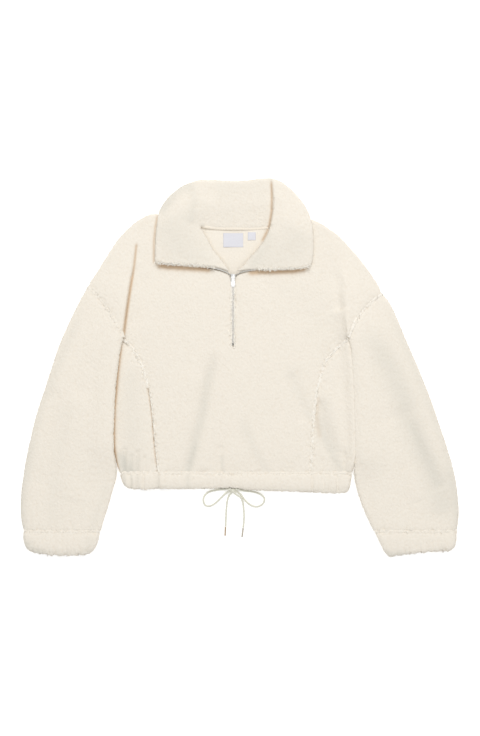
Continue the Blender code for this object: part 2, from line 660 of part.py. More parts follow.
def hem_wave(x):
    """How the casing's lower edge runs: drawn in at the cord, notched at the left side seam."""
    drawn_in = 3.4 * math.exp(-((x - ZIP_X) / 15.0) ** 2)
    middle = 3.0 * math.exp(-((x + 40.0) / 80.0) ** 2)
    notch = 4.5 * math.exp(-((x + 173.0) / 6.0) ** 2)
    sides = -3.2 * math.exp(-((x + 200.0) / 18.0) ** 2) - 3.0 * math.exp(-((x - 200.0) / 26.0) ** 2)
    return drawn_in + middle + notch + sides


def make_sleeve(name, armhole, stations, facing, collection):
    """A sleeve from its armhole seam to the cuff's seam."""
    start, end, bow = armhole
    along = (Vector(end) - Vector(start)).normalized()
    outward = Vector((-along.y, along.x)) * (-facing * SEAM)
    if outward.x * facing < 0:
        outward = -outward
    first = Station(start[0] + outward.x, start[1] + outward.y, end[0] + outward.x,
                    end[1] + outward.y, 13.0, 4.0, bow, 0.0)
    every = with_seam_stations([first] + list(stations))
    return make_flat_tube(name, every, SLEEVE_UPPER, SLEEVE_LOWER, AIR, SLEEVE_FOLDS, level, collection)


def make_cuff(name, stations, collection):
    """A cuff casing with elastic: its upper ply is gathered in soft waves."""
    waves = 11
    left = min(stations[2].outer_x, stations[2].inner_x)
    right = max(stations[2].outer_x, stations[2].inner_x)
    pitch = (right - left) / waves
    y = stations[2].outer_y
    folds = [Fold(left + pitch * (turn + 0.5), y + 8, left + pitch * (turn + 0.5), y - 22, 3.6, -1.5)
             for turn in range(waves)]
    upper = [step / (2 * waves) for step in range(2 * waves + 1)]
    return make_flat_tube(name, stations, upper, (1.0, 0.66, 0.33, 0.0), 1.6, folds, level, collection)


def make_hem(collection):
    """The hem casing: a tunnel all round for the drawcord, gathered near the side seams."""
    left, right = HEM_CASING[0].outer_x + EDGE_RADIUS, HEM_CASING[0].inner_x - EDGE_RADIUS
    notch = [(x - left) / (right - left) for x in (-180, -173, -166)]
    upper = sorted([step / 26 for step in range(27)] + notch)
    lower = [1.0 - step / 12 for step in range(13)]
    gathers = [-244, -226, -208, -190, -120, -60, 40, 118, 166, 184, 203, 222]
    folds = [Fold(x, -234, x, -262, 6.5, -1.3) for x in gathers]
    stations = HEM_CASING
    outer_rows = []
    inner_rows = []
    for number, station in enumerate(stations):
        reach = (0.0, 0.0, 0.2, 0.7, 1.0)[number]

        def wave(x, reach=reach):
            return reach * hem_wave(x)

        outer, inner = tube_ring(station, upper, lower, 1.0, folds, wave)
        outer_rows.append(outer)
        inner_rows.append(inner)
    return grid_shell("hem_casing", outer_rows, inner_rows, "fleece", collection, closed=True)


# ---------------------------------------------------------------- collar
ROUND_OUT = 1.6        # how far in the rounded outer edge of the collar ends
EDGE_LOW, EDGE_HIGH = 0.38, 0.62   # the rim's two corners, as shares of its height
COLLAR_WRINKLES = [
    Fold(-77, 392, -72, 352, 6, -1.2),
    Fold(-60, 392, -58, 362, 5, -1.0),
    Fold(-150, 350, -120, 300, 12, -1.6),
    Fold(-128, 285, -105, 262, 12, -1.2),
    Fold(110, 372, 95, 330, 12, -1.0),
    Fold(75, 262, 110, 250, 12, -1.0),
]


def collar_section(band):
    """Upper and lower path across the collar's band, from its outer edge to its inner edge."""
    start = Vector((band.outer_x, band.outer_y))
    end = Vector((band.inner_x, band.inner_y))
    width = (end - start).length
    upper = []
    lower = []

    def add(distance, top, low):
        place = bowed(start, end, band.bow, distance / width)
        upper.append((place.x, place.y, top))
        lower.append((place.x, place.y, low))

    def top_at(share):
        if share < 0.5:
            height = lerp(band.top_out, band.top_mid, smooth(share * 2))
        else:
            height = lerp(band.top_mid, band.top_in, smooth(share * 2 - 1))
        place = start.lerp(end, share)
        return height + fold_height(COLLAR_WRINKLES, place.x, place.y)

    outer_height = band.top_out - band.low_out
    inner_height = band.top_in - band.low_in
    step = band.step
    low_at_step = band.low_out
    add(0.0, band.low_out + outer_height * EDGE_HIGH, band.low_out + outer_height * EDGE_LOW)
    add(ROUND_OUT, band.top_out - outer_height * 0.12, band.low_out + min(0.8, outer_height * 0.1))
    add(5.0, top_at(5.0 / width), band.low_out)
    for share in (0.5 * step, step, step + 0.035):
        low = low_at_step if share <= step else band.low_in
        add(width * share, top_at(share), low)
    for share in (0.45, 0.75):
        place = lerp(step + 0.035, 1.0, share)
        add(width * place, top_at(place), band.low_in)
    add(width - 6.0, top_at(1.0 - 6.0 / width), band.low_in)
    add(width - 1.8, band.top_in - inner_height * 0.16, band.low_in + inner_height * 0.12)
    add(width, band.low_in + inner_height * EDGE_HIGH, band.low_in + inner_height * EDGE_LOW)
    return upper, lower


def finer_bands(bands, reach):
    """One more band between neighbours further apart than reach, its ends on a smooth curve."""
    finer = [bands[0]]
    for number in range(1, len(bands)):
        first = bands[number - 1]
        second = bands[number]
        if (Vector(first[:2]) - Vector(second[:2])).length > reach:
            before = bands[max(number - 2, 0)]
            after = bands[min(number + 1, len(bands) - 1)]
            middle = [(a + b) / 2 for a, b in zip(first, second)]
            for field in range(4):
                middle[field] += (first[field] + second[field] - before[field] - after[field]) / 16
            finer.append(Band(*middle))
        finer.append(second)
    return finer


def make_collar(collection):
    """The turned-down collar; where its plies are hidden they share one rounded wall."""
    upper_rows = []
    lower_rows = []
    for band in finer_bands(COLLAR, 11.0):
        upper, lower = collar_section(band)
        upper_rows.append(upper)
        lower_rows.append(lower)
    return grid_shell("collar", upper_rows, lower_rows, "fleece", collection)


# ---------------------------------------------------------------- zip
TAPE_THICK = 1.2
TAPE_LOW = 10.2        # underside of the tapes in the slit
SLIDER_Y = 194.0       # middle of the slider
SLIDER_WIDTH = 9.0
SLIDER_LENGTH = 12.0
PLATE = 1.3            # thickness of the slider's plates
PLATE_TOP = 13.1       # top of the slider's upper plate
AXIS_Z = 14.2          # axis of the pull tab
TAB_THICK = 1.3
TAB_WIDTH = 8.0
TAB_REACH = 21.5       # from the axis to the tab's free end


def make_tape(name, band, facing, collection):
    """One zip tape: along the collar's edge, into the slider and down the slit."""
    start = (band.outer_x, band.outer_y)
    end = (band.inner_x, band.inner_y)
    path = []
    for share in (0.01, 0.15, 0.3, 0.45, 0.6, 0.75, 0.88, 0.97):
        place = bowed(start, end, band.bow, share)
        height = lerp(17.0, 16.0, share) - 1.2 * smooth((share - 0.75) / 0.25)
        path.append((place.x, place.y - SEAM - 1.5, height, 1.5))
    path.append((ZIP_X + facing * 6.8, 202.0, 12.2, 1.3))
    path.append((ZIP_X + facing * 3.4, 201.4, TAPE_LOW + 0.3, 1.3))
    path.append((ZIP_X + facing * 2.9, 196.0, TAPE_LOW, 1.3))
    for y in (190.0, 170.0, 120.0, 80.0, SLIT_END + 6.0):
        path.append((ZIP_X + facing * 1.32, y, TAPE_LOW, 1.15))
    outer_rows = []
    inner_rows = []
    for number, (x, y, low, half) in enumerate(path):
        before = Vector(path[max(number - 1, 0)][:2])
        after = Vector(path[min(number + 1, len(path) - 1)][:2])
        along = (after - before).normalized()
        across = Vector((-along.y, along.x)) * half
        outer_rows.append([(x - across.x, y - across.y, low + TAPE_THICK),
                           (x + across.x, y + across.y, low + TAPE_THICK)])
        inner_rows.append([(x - across.x, y - across.y, low), (x + across.x, y + across.y, low)])
    return grid_shell(name, outer_rows, inner_rows, "zip_tape", collection)


def box_mesh(low, high):
    """A box between two corners, as a bmesh."""
    build = bmesh.new()
    bmesh.ops.create_cube(build, size=1.0)
    shift = Vector((CENTRE_SHIFT[0], CENTRE_SHIFT[1], 0.0))
    low = (Vector(low) + shift) * MM
    high = (Vector(high) + shift) * MM
    for vertex in build.verts:
        for axis in range(3):
            vertex.co[axis] = high[axis] if vertex.co[axis] > 0 else low[axis]
    return build


def make_box(name, low, high, finish, bevel, collection):
    """A box with rounded edges."""
    build = box_mesh(low, high)
    mesh = bpy.data.meshes.new(name)
    build.to_mesh(mesh)
    build.free()
    item = add_mesh_object(name, mesh, finish, collection)
    if bevel:
        rounding = item.modifiers.new("edges", "BEVEL")
        rounding.width = bevel * MM
        rounding.segments = 2
    return item


def make_cutter(name, low, high, collection):
    """A helper box for a Boolean, left out of the object."""
    item = make_box(name, low, high, "metal", 0.0, collection)
    item.hide_render = True
    item.display_type = "WIRE"
    return item


def add_boolean(item, helper, operation):
    """Join or cut an object with a helper."""
    boolean = item.modifiers.new(operation.lower(), "BOOLEAN")
    boolean.operation = operation
    boolean.object = helper
    boolean.solver = "EXACT"


def make_slider(collection, cutters):
    """The slider: two plates, the wedge between them and the bridge that carries the pull tab."""
    half = SLIDER_WIDTH / 2
    low_y = SLIDER_Y - SLIDER_LENGTH / 2
    high_y = SLIDER_Y + SLIDER_LENGTH / 2
    plate_low = PLATE_TOP - PLATE
    slider = make_box("zip_slider", (ZIP_X - half, low_y, plate_low),
                      (ZIP_X + half, high_y, PLATE_TOP), "metal", 0.0, collection)
    under_top = TAPE_LOW - 0.4
    parts = {
        "under_plate": ((ZIP_X - half + 0.4, low_y + 0.4, under_top - PLATE),
                        (ZIP_X + half - 0.4, high_y - 0.4, under_top)),
        "wedge": ((ZIP_X - 1.2, SLIDER_Y + 1.6, under_top - 0.5),
                  (ZIP_X + 1.2, high_y - 0.8, plate_low + 0.5)),
        "bridge_bar": ((ZIP_X - 1.1, SLIDER_Y - 3.2, AXIS_Z + 1.2),
                       (ZIP_X + 1.1, SLIDER_Y + 3.2, AXIS_Z + 2.2)),
        "bridge_low": ((ZIP_X - 1.0, SLIDER_Y - 3.1, PLATE_TOP - 0.5),
                       (ZIP_X + 1.0, SLIDER_Y - 2.1, AXIS_Z + 1.6)),
        "bridge_high": ((ZIP_X - 1.0, SLIDER_Y + 2.1, PLATE_TOP - 0.5),
                        (ZIP_X + 1.0, SLIDER_Y + 3.1, AXIS_Z + 1.6)),
    }
    for name, (low, high) in parts.items():
        add_boolean(slider, make_cutter(name, low, high, cutters), "UNION")
    return slider


def make_pull_tab(collection, cutters):
    """The pull tab: a plate with an eye round the slider's bridge, on its axis."""
    half = TAB_WIDTH / 2
    axis_half = TAB_THICK / 2
    tab = make_box("pull_tab", (ZIP_X - half, SLIDER_Y - TAB_REACH, AXIS_Z - axis_half),
                   (ZIP_X + half, SLIDER_Y + axis_half, AXIS_Z + axis_half), "metal", 0.35, collection)
    eye = make_cutter("eye", (ZIP_X - 1.7, SLIDER_Y - 5.2, AXIS_Z - 2),
                      (ZIP_X + 1.7, SLIDER_Y - axis_half, AXIS_Z + 2), cutters)
    add_boolean(tab, eye, "DIFFERENCE")
    pivot = bpy.data.objects.new("pull_tab_axis", None)
    collection.objects.link(pivot)
    pivot.location = ((ZIP_X + CENTRE_SHIFT[0]) * MM, (SLIDER_Y + CENTRE_SHIFT[1]) * MM, AXIS_Z * MM)
    for vertex in tab.data.vertices:
        vertex.co -= pivot.location
    eye.parent = pivot
    for vertex in eye.data.vertices:
        vertex.co -= pivot.location
    tab.parent = pivot
    return tab


# ---------------------------------------------------------------- drawcord
def smooth_route(points, spacing):
    """Points at an even spacing on a smooth curve through the route's own points."""
    knots = [Vector(point) for point in points]
    knots = [knots[0] * 2 - knots[1]] + knots + [knots[-1] * 2 - knots[-2]]
    fine = []
    parts = 12
    for number in range(1, len(knots) - 2):
        before, start, end, after = knots[number - 1:number + 3]
        for part in range(parts):
            t = part / parts
            fine.append(0.5 * ((2 * start) + (end - before) * t
                               + (2 * before - 5 * start + 4 * end - after) * t * t
                               + (3 * start - before - 3 * end + after) * t ** 3))
    fine.append(knots[-2])
    lengths = [0.0]
    for first, second in zip(fine, fine[1:]):
        lengths.append(lengths[-1] + (second - first).length)
    count = max(3, round(lengths[-1] / spacing))
    route = []
    place = 0
    for step in range(count + 1):
        wanted = lengths[-1] * step / count
        while place < len(fine) - 2 and lengths[place + 1] < wanted:
            place += 1
        span = lengths[place + 1] - lengths[place]
        route.append(fine[place].lerp(fine[place + 1], (wanted - lengths[place]) / span))
    return route


def make_cord(name, points, collection):
    """A stretch of the drawcord: a round tube along its route."""
    curve = bpy.data.curves.new(name, "CURVE")
    curve.dimensions = "3D"
    curve.bevel_depth = CORD_DIAMETER / 2 * MM
    curve.bevel_resolution = 2
    curve.use_fill_caps = True
    route = smooth_route(points, 7.0)
    spline = curve.splines.new("POLY")
    spline.points.add(len(route) - 1)
    for point, place in zip(spline.points, route):
        point.co = ((place.x + CENTRE_SHIFT[0]) * MM, (place.y + CENTRE_SHIFT[1]) * MM, place.z * MM, 1.0)
    curve.materials.append(finish_material("cord", name + "_finish"))
    item = bpy.data.objects.new(name, curve)
    collection.objects.link(item)
    return item


def make_knot(collection):
    """The bow's knot: a rounded lump that hides its turns."""
    build = bmesh.new()
    bmesh.ops.create_uvsphere(build, u_segments=16, v_segments=10, radius=1.0)
    for vertex in build.verts:
        pinch = 1.0 - 0.18 * math.exp(-(vertex.co.x / 0.3) ** 2)
        vertex.co = Vector((vertex.co.x * KNOT_RADII[0], vertex.co.y * KNOT_RADII[1] * pinch,
                            vertex.co.z * KNOT_RADII[2] * pinch))
        vertex.co += Vector(KNOT_CENTRE) + Vector((CENTRE_SHIFT[0], CENTRE_SHIFT[1], 0.0))
        vertex.co *= MM
    mesh = bpy.data.meshes.new("drawcord_knot")
    build.to_mesh(mesh)
    build.free()
    mesh.shade_smooth()
    return add_mesh_object("drawcord_knot", mesh, "cord", collection)


def make_tip(name, route, collection):
    """A metal tip on a cord's end, in line with it."""
    end = Vector(route[-1])
    along = Vector((end.x - route[-2][0], end.y - route[-2][1], 0.0)).normalized()
    build = bmesh.new()
    bmesh.ops.create_cone(build, cap_ends=True, segments=12, radius1=TIP_DIAMETER / 2 * MM,
                          radius2=TIP_DIAMETER / 2 * MM, depth=TIP_LENGTH * MM)
    mesh = bpy.data.meshes.new(name)
    build.to_mesh(mesh)
    build.free()
    item = add_mesh_object(name, mesh, "tip", collection)
    middle = end + along * (SEAM + TIP_LENGTH / 2)
    item.location = Vector((middle.x + CENTRE_SHIFT[0], middle.y + CENTRE_SHIFT[1], TIP_DIAMETER / 2)) * MM
    item.rotation_euler = along.to_track_quat("Z", "Y").to_euler()
    rounding = item.modifiers.new("edges", "BEVEL")
    rounding.width = 0.5 * MM
    rounding.segments = 1
    return item


# ---------------------------------------------------------------- the whole garment
def main():
    """Build every piece."""
    clear_scene()
    pieces = new_collection("sherpa_fleece_pullover")
    cutters = new_collection("cutters")
    make_front(pieces)
    make_back(pieces)
    make_side_panel("side_panel_left", LEFT_SIDE, -1, pieces)
    make_side_panel("side_panel_right", RIGHT_SIDE, 1, pieces)
    make_sleeve("sleeve_left", LEFT_ARMHOLE, LEFT_SLEEVE, -1, pieces)
    make_sleeve("sleeve_right", RIGHT_ARMHOLE, RIGHT_SLEEVE, 1, pieces)
    make_cuff("cuff_left", LEFT_CUFF, pieces)
    make_cuff("cuff_right", RIGHT_CUFF, pieces)
    make_hem(pieces)
    make_collar(pieces)
    make_tape("zip_tape_left", COLLAR[0], -1, pieces)
    make_tape("zip_tape_right", COLLAR[-1], 1, pieces)
    make_slider(pieces, cutters)
    make_pull_tab(pieces, cutters)
    make_box("zip_bottom_stop", (ZIP_X - 2.4, SLIT_END + 0.6, TAPE_LOW - 0.3),
             (ZIP_X + 2.4, SLIT_END + 5.4, TAPE_LOW + 2.0), "metal", 0.3, pieces)
    make_box("neck_label", (-35, 258, WALL + 0.3), (8, 288, WALL + 0.9), "label", 0.0, pieces)
    make_box("size_label", (18, 273, WALL + 0.3), (35, 290, WALL + 0.9), "label", 0.0, pieces)
    make_knot(pieces)
    make_cord("drawcord_loop_left", LOOP_LEFT, pieces)
    make_cord("drawcord_loop_right", LOOP_RIGHT, pieces)
    make_cord("drawcord_end_left", END_LEFT, pieces)
    make_cord("drawcord_end_right", END_RIGHT, pieces)
    make_tip("drawcord_tip_left", END_LEFT, pieces)
    make_tip("drawcord_tip_right", END_RIGHT, pieces)


main()
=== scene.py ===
"""Sherpa fleece pullover laid flat: the dressed model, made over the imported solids."""

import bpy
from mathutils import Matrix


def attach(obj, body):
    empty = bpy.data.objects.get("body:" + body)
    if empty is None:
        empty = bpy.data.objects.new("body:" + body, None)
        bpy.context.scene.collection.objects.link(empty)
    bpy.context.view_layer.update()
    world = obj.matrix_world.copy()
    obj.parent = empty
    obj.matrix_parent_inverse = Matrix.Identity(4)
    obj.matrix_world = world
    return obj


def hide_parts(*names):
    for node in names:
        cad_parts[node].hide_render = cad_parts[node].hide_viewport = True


bl_info = {
    "name": "Sherpa Fleece Pullover",
    "version": (1, 0, 0),
    "blender": (4, 5, 0),
    "location": "View3D > Sidebar > Pullover",
    "description": "Builds a sherpa fleece pullover with a half zip and a drawcord hem",
    "category": "Object",
}

import math
import random
from contextlib import contextmanager

import bmesh
import bpy
import numpy as np
from bpy.props import FloatProperty, FloatVectorProperty, IntProperty, PointerProperty
from mathutils import Matrix, Vector
from mathutils.bvhtree import BVHTree

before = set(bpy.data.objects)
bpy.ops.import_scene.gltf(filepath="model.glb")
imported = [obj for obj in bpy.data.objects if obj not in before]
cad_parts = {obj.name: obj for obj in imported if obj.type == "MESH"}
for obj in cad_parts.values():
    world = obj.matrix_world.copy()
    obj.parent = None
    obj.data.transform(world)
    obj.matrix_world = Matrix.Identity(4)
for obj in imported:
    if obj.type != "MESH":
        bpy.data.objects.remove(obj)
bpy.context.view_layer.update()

GARMENT = "garment"
MM, CM = 0.001, 0.01


# ---------------------------------------------------------------- design lines (mm)
def at(x, y, z=0.0):
    """A design point in metres, with the outline's middle brought over the origin."""
    return Vector(((x - 0.5) * MM, (y + 1.6) * MM, z * MM))


def arc(start, end, bow, count):
    """Points on a shallow arc that stands off its chord by bow at the middle."""
    start = Vector(start)
    along = Vector(end) - start
    across = Vector((-along.y, along.x)).normalized()
    return [tuple(start + along * t + across * (bow * 4 * t * (1 - t)))
            for t in (number / (count - 1) for number in range(count))]


ZIP_X = -14.0
SLIT_END = 46.0
ARMHOLE_LEFT = arc((-326, 173), (-249, 63), 8.0, 10)
ARMHOLE_RIGHT = arc((307, 158), (233, 64), -11.0, 10)
SIDE_LEFT = [(-249.5, 61), (-231, 42), (-222.3, 28), (-215, 15), (-209, 0), (-204, -15),
             (-196, -45), (-191, -80), (-187, -116), (-184, -153), (-180, -191), (-176, -227)]
SIDE_RIGHT = [(235, 61), (212, 42), (198, 28), (187, 15), (180.5, 0), (176, -15), (168, -45),
              (162, -80), (158, -116), (157, -153), (155, -191), (153, -227)]
HEM_SEAM = [(-254, -228.4), (-176, -228.8), (-14, -229.2), (153, -229), (240, -228.4)]
CUFF_LEFT_SEAM = [(-463, -353.4), (-382, -354.4), (-302, -353.2)]
CUFF_RIGHT_SEAM = [(467, -353.4), (380, -354.6), (292, -353.2)]
FLAP_LEFT = [(-177, 224), (-150, 220.5), (-117, 218.5), (-85, 216.8), (-66, 214.8), (-54, 213)]
FLAP_RIGHT = [(149, 216), (140, 213), (108, 210.6), (87, 209.4), (60, 208.8), (40, 209.6)]
SLIT = [(ZIP_X, 186), (ZIP_X, SLIT_END)]
SLIT_EDGE_LEFT = [(ZIP_X - 4.4, 184), (ZIP_X - 3.6, 170), (ZIP_X - 3.6, 60), (ZIP_X - 4.4, 50),
                  (ZIP_X - 3.2, 43), (ZIP_X - 0.8, 41.5)]
SLIT_EDGE_RIGHT = [(ZIP_X + 4.8, 184), (ZIP_X + 3.8, 170), (ZIP_X + 3.7, 60), (ZIP_X + 4.5, 50),
                   (ZIP_X + 3.3, 43), (ZIP_X + 0.8, 41.5)]
NECK_SEAM = [(-83, 301.4), (-70, 298.8), (-52, 296.6), (-31, 295.6), (1, 295.2), (33, 295.6),
             (54, 296.8), (65.5, 299.0)]
CUFF_LEFT_END = [(-450, -399), (-385, -403), (-321, -404)]
CUFF_RIGHT_END = [(452, -397), (388, -405), (325, -410)]

# Where the pile stands up more: a line and how far from it
STANDING_PILE = [(ARMHOLE_LEFT, 8), (ARMHOLE_RIGHT, 8), (SIDE_LEFT, 9), (SIDE_RIGHT, 9),
                 (HEM_SEAM, 6), (CUFF_LEFT_SEAM, 7), (CUFF_RIGHT_SEAM, 7), (FLAP_LEFT, 13),
                 (FLAP_RIGHT, 13), (SLIT, 7), (CUFF_LEFT_END, 16), (CUFF_RIGHT_END, 16)]

# Troughs (below zero) and ridges that a piece gets on top: line, width, depth
FOLDS = {
    "front": (
        ([(-52, 40), (-66, -30), (-82, -105), (-101, -180), (-111, -228)], 12, -3.4),
        ([(-34, 60), (-50, -60), (-66, -160), (-78, -228)], 16, 1.6),
        ([(-92, 0), (-112, -90), (-132, -190), (-138, -228)], 18, 1.6),
        ([(-40, -165), (-43, -228)], 6, -2.2),
        ([(112, -10), (130, -70), (138, -120)], 12, -2.0),
        ([(-221, 268), (-227, 219), (-231, 190)], 3.0, -2.6),
        ([(-227, 215), (-235, 170), (-242, 118), (-247, 80), (-249, 62)], 3.0, -4.6),
        ([(214, 128), (223, 92), (228, 68), (233, 48)], 15, 6.0),
        ([(212, 205), (213, 160), (216, 115), (220, 88)], 8, -1.5),
        ([(229, 210), (230, 160), (232, 110), (236, 74)], 7, 1.6),
        ([(-205, 205), (-212, 150), (-224, 90)], 12, -1.2),
    ),
    "side_left": (
        ([(-246, -170), (-247, -228)], 4, -2.4),
        ([(-232, -186), (-233, -228)], 4, -2.0),
        ([(-218, -176), (-219, -228)], 4, -2.4),
        ([(-203, -190), (-204, -228)], 4, -1.8),
        ([(-190, -200), (-190, -228)], 3, -1.2),
    ),
    "side_right": (
        ([(170, -66), (176, -110), (188, -150), (201, -190)], 13, -3.4),
        ([(186, -40), (206, -120), (222, -180)], 16, 1.4),
        ([(224, 116), (232, 64), (236, 46), (239.5, 20), (242.5, -20), (245.5, -60), (247.5, -120),
          (248.5, -170), (249.5, -228)], 14, 8.8),
        ([(226, -180), (225, -228)], 5, -2.2),
        ([(208, -200), (207, -228)], 4, -1.6),
        ([(178, -196), (176, -228)], 4, -1.8),
    ),
    "hem": (
        ([(-237, -226), (-236, -268)], 3.5, -2.0),
        ([(-221, -226), (-222, -268)], 3.5, -2.4),
        ([(-206, -226), (-207, -268)], 3.5, -2.0),
        ([(-175, -226), (-174, -270)], 3.0, -3.2),
        ([(-42, -226), (-43, -268)], 5.0, -1.6),
        ([(-107, -226), (-108, -268)], 7.0, -1.4),
        ([(156, -226), (157, -268)], 3.5, -2.2),
        ([(180, -226), (181, -268)], 3.5, -1.6),
        ([(210, -226), (211, -268)], 3.5, -1.8),
    ),
    "sleeve_right_cloth": (
        ([(238, 46), (242, 20), (245, -20), (248, -60), (250, -120), (251, -170), (252, -228)],
         9, -2.6),
        ([(340, -78), (382, -163), (410, -219), (430, -270)], 21, -2.8),
        ([(366, -90), (408, -170), (440, -250)], 16, 1.2),
        ([(318, -110), (352, -200), (384, -290)], 20, 1.8),
    ),
    "sleeve_left_cloth": (
        ([(-395, -40), (-425, -140), (-440, -260)], 20, -1.8),
        ([(-345, -50), (-352, -160), (-366, -290)], 30, 2.0),
        ([(-300, 20), (-318, -80), (-330, -200)], 16, -1.2),
    ),
}

# Painted shadow: lines in creases and under edges where the cloth gets a warm shadow colour:
# pieces, line, width, strength
CREASE_SHADOW_LINES = [
    ("front", [(-221, 268), (-226, 219), (-232.5, 178)], 2.6, 0.8),
    ("front", [(-229, 202), (-234, 170), (-242, 118), (-247, 80), (-250, 58)], 3.2, 1.0),
    ("side_left front", [(-250, 60), (-254, 52), (-259, 15), (-264, -39), (-269, -92),
                         (-270, -135), (-270, -168), (-266, -204), (-261, -224)], 3.8, 1.0),
    ("front", [(-176, 330), (-181, 300), (-184, 268), (-184.5, 222)], 2.6, 0.6),
    ("front", [(-181, 218.5), (-150, 215), (-117, 213), (-85, 211), (-62, 209)], 6.4, 1.0),
    ("front", [(14, 202), (50, 204.5), (87, 205), (120, 206.5), (143, 212)], 6.0, 1.0),
    ("collar_cloth", [(-177, 222.4), (-150, 218.9), (-117, 216.9), (-85, 215.2), (-66, 213.2)],
     1.7, 0.5),
    ("collar_cloth", [(149, 214.4), (140, 211.4), (108, 209), (87, 207.8), (60, 207.2), (40, 208)],
     1.7, 0.5),
    ("back collar_cloth", [(68, 404), (69.5, 370), (69, 335), (64.5, 307), (58, 289), (48, 270)],
     2.6, 0.85),
    ("side_left front", [(-200, -30), (-193, -70), (-188, -110), (-184, -160), (-180, -210)],
     2.2, 0.42),
    ("side_right", [(169, -60), (166, -104), (172, -152)], 5.0, 0.24),
]

# Painted shade along folds and edges: pieces, line, width, strength (below zero takes shade away)
SHADE_LINES = [
    ("front", [(-52, 34), (-68, -28), (-80, -103), (-100, -178), (-112, -229)], 10, 0.33),
    ("front", [(-92, -160), (-111, -229)], 5, 0.2),
    ("front", [(0, -100), (30, -170), (64, -229)], 11, 0.14),
    ("front", [(-40, -185), (-34, -229)], 5, 0.22),
    ("front", [(98, 10), (125, -50), (150, -100)], 13, 0.12),
    ("front side_right", [(158, -84), (184, -157), (205, -200), (227, -229)], 9, 0.24),
    ("side_right", [(172, -60), (185, -120), (204, -180)], 20, 0.12),
    ("sleeve_right_cloth", [(262, 92), (292, 50), (318, 10), (345, -49), (377, -146), (420, -243),
                            (434, -292)], 27, 0.3),
    ("sleeve_right_cloth", [(366, -110), (392, -170), (424, -246)], 12, 0.14),
    ("sleeve_right_cloth", [(440, -200), (464, -280), (472, -350)], 20, 0.1),
    ("sleeve_left_cloth", [(-448, -140), (-474, -250), (-482, -345)], 24, 0.14),
    ("sleeve_left_cloth", [(-362, -40), (-386, -178), (-398, -264), (-402, -340)], 18, 0.07),
    ("side_left", [(-236, 24), (-234, -100), (-230, -229)], 26, 0.13),
    ("side_left", [(-266, -180), (-250, -210), (-236, -229)], 14, 0.42),
    ("side_left hem", [(-247, -180), (-247, -226), (-248, -262)], 3.5, 0.3),
    ("side_left hem", [(-233, -190), (-233, -226), (-232, -262)], 3.5, 0.24),
    ("side_left hem", [(-218, -184), (-219, -226), (-220, -262)], 3.5, 0.24),
    ("hem", [(-176, -228), (-175, -270)], 3.5, 0.26),
    ("hem", [(-111, -228), (-110, -266)], 5.0, 0.24),
    ("collar_cloth", [(-176, 322), (-160, 352), (-140, 380), (-112, 400)], 15, 0.4),
    ("collar_cloth", [(-108, 396), (-96, 360), (-104, 318)], 10, 0.18),
    ("collar_cloth", [(-160, 330), (-122, 262), (-90, 225)], 55, 0.24),
    ("collar_cloth", [(140, 300), (112, 250), (70, 225)], 50, 0.22),
    ("collar_cloth", [(66, 300), (52, 262), (30, 226)], 16, 0.18),
    ("collar_cloth", [(-60, 384), (40, 390)], 40, 0.1),
    ("cuff_left_cloth", [(-462, -372), (-452, -392), (-430, -404)], 12, 0.36),
    ("cuff_left_cloth", [(-455, -394), (-385, -402), (-316, -400)], 10, 0.18),
    ("cuff_left_cloth", [(-322, -360), (-326, -398)], 9, 0.12),
    ("cuff_right_cloth", [(306, -392), (330, -408), (356, -408)], 9, 0.3),
    ("cuff_right_cloth", [(316, -402), (388, -406), (456, -396)], 10, 0.16),
    ("hem", [(-240, -264), (-176, -267), (-14, -267), (150, -269), (236, -266)], 9, 0.16),
    ("sleeve_left_cloth cuff_left_cloth", [(-322, 160), (-377, 36), (-420, -71), (-450, -178),
                                           (-468, -286), (-466, -376)], 10, 0.16),
    ("sleeve_right_cloth cuff_right_cloth", [(306, 160), (362, 36), (405, -71), (444, -178),
                                             (468, -286), (470, -376)], 10, 0.16),
    ("sleeve_left_cloth", [(-282, -240), (-300, -300), (-318, -350)], 9, 0.1),
    ("front", [(40, 190), (170, 150), (205, 60)], 34, 0.05),
    ("front", [(58, 190), (62, 60), (66, -60), (70, -200)], 26, -0.04),
]


def reach(points, line):
    """How far each point of a plan is from a line, and its share along the line."""
    corners = np.array([corner[:2] for corner in line], dtype=np.float64)
    lengths = np.linalg.norm(np.diff(corners, axis=0), axis=1)
    before = np.concatenate(([0.0], np.cumsum(lengths)))
    best = np.full(len(points), 1e9)
    share = np.zeros(len(points))
    for number, step in enumerate(np.diff(corners, axis=0)):
        t = np.clip((points - corners[number]) @ step / (lengths[number] ** 2), 0.0, 1.0)
        away = np.linalg.norm(points - corners[number] - t[:, None] * step, axis=1)
        nearer = away < best
        best[nearer] = away[nearer]
        share[nearer] = ((before[number] + t * lengths[number]) / before[-1])[nearer]
    return best, share


# ---------------------------------------------------------------- settings
def colour(label, text, value):
    """A colour that a user may change."""
    return FloatVectorProperty(name=label, description=text, default=value, size=3,
                               subtype="COLOR", min=0.0, max=1.0)


def length(label, text, value, low=0.0):
    """A length that a user may change."""
    return FloatProperty(name=label, description=text, default=value, min=low,
                         unit="LENGTH", subtype="DISTANCE", precision=5)


def amount(label, text, value, **limits):
    """A plain number that a user may change."""
    return FloatProperty(name=label, description=text, default=value, min=0.0, **limits)


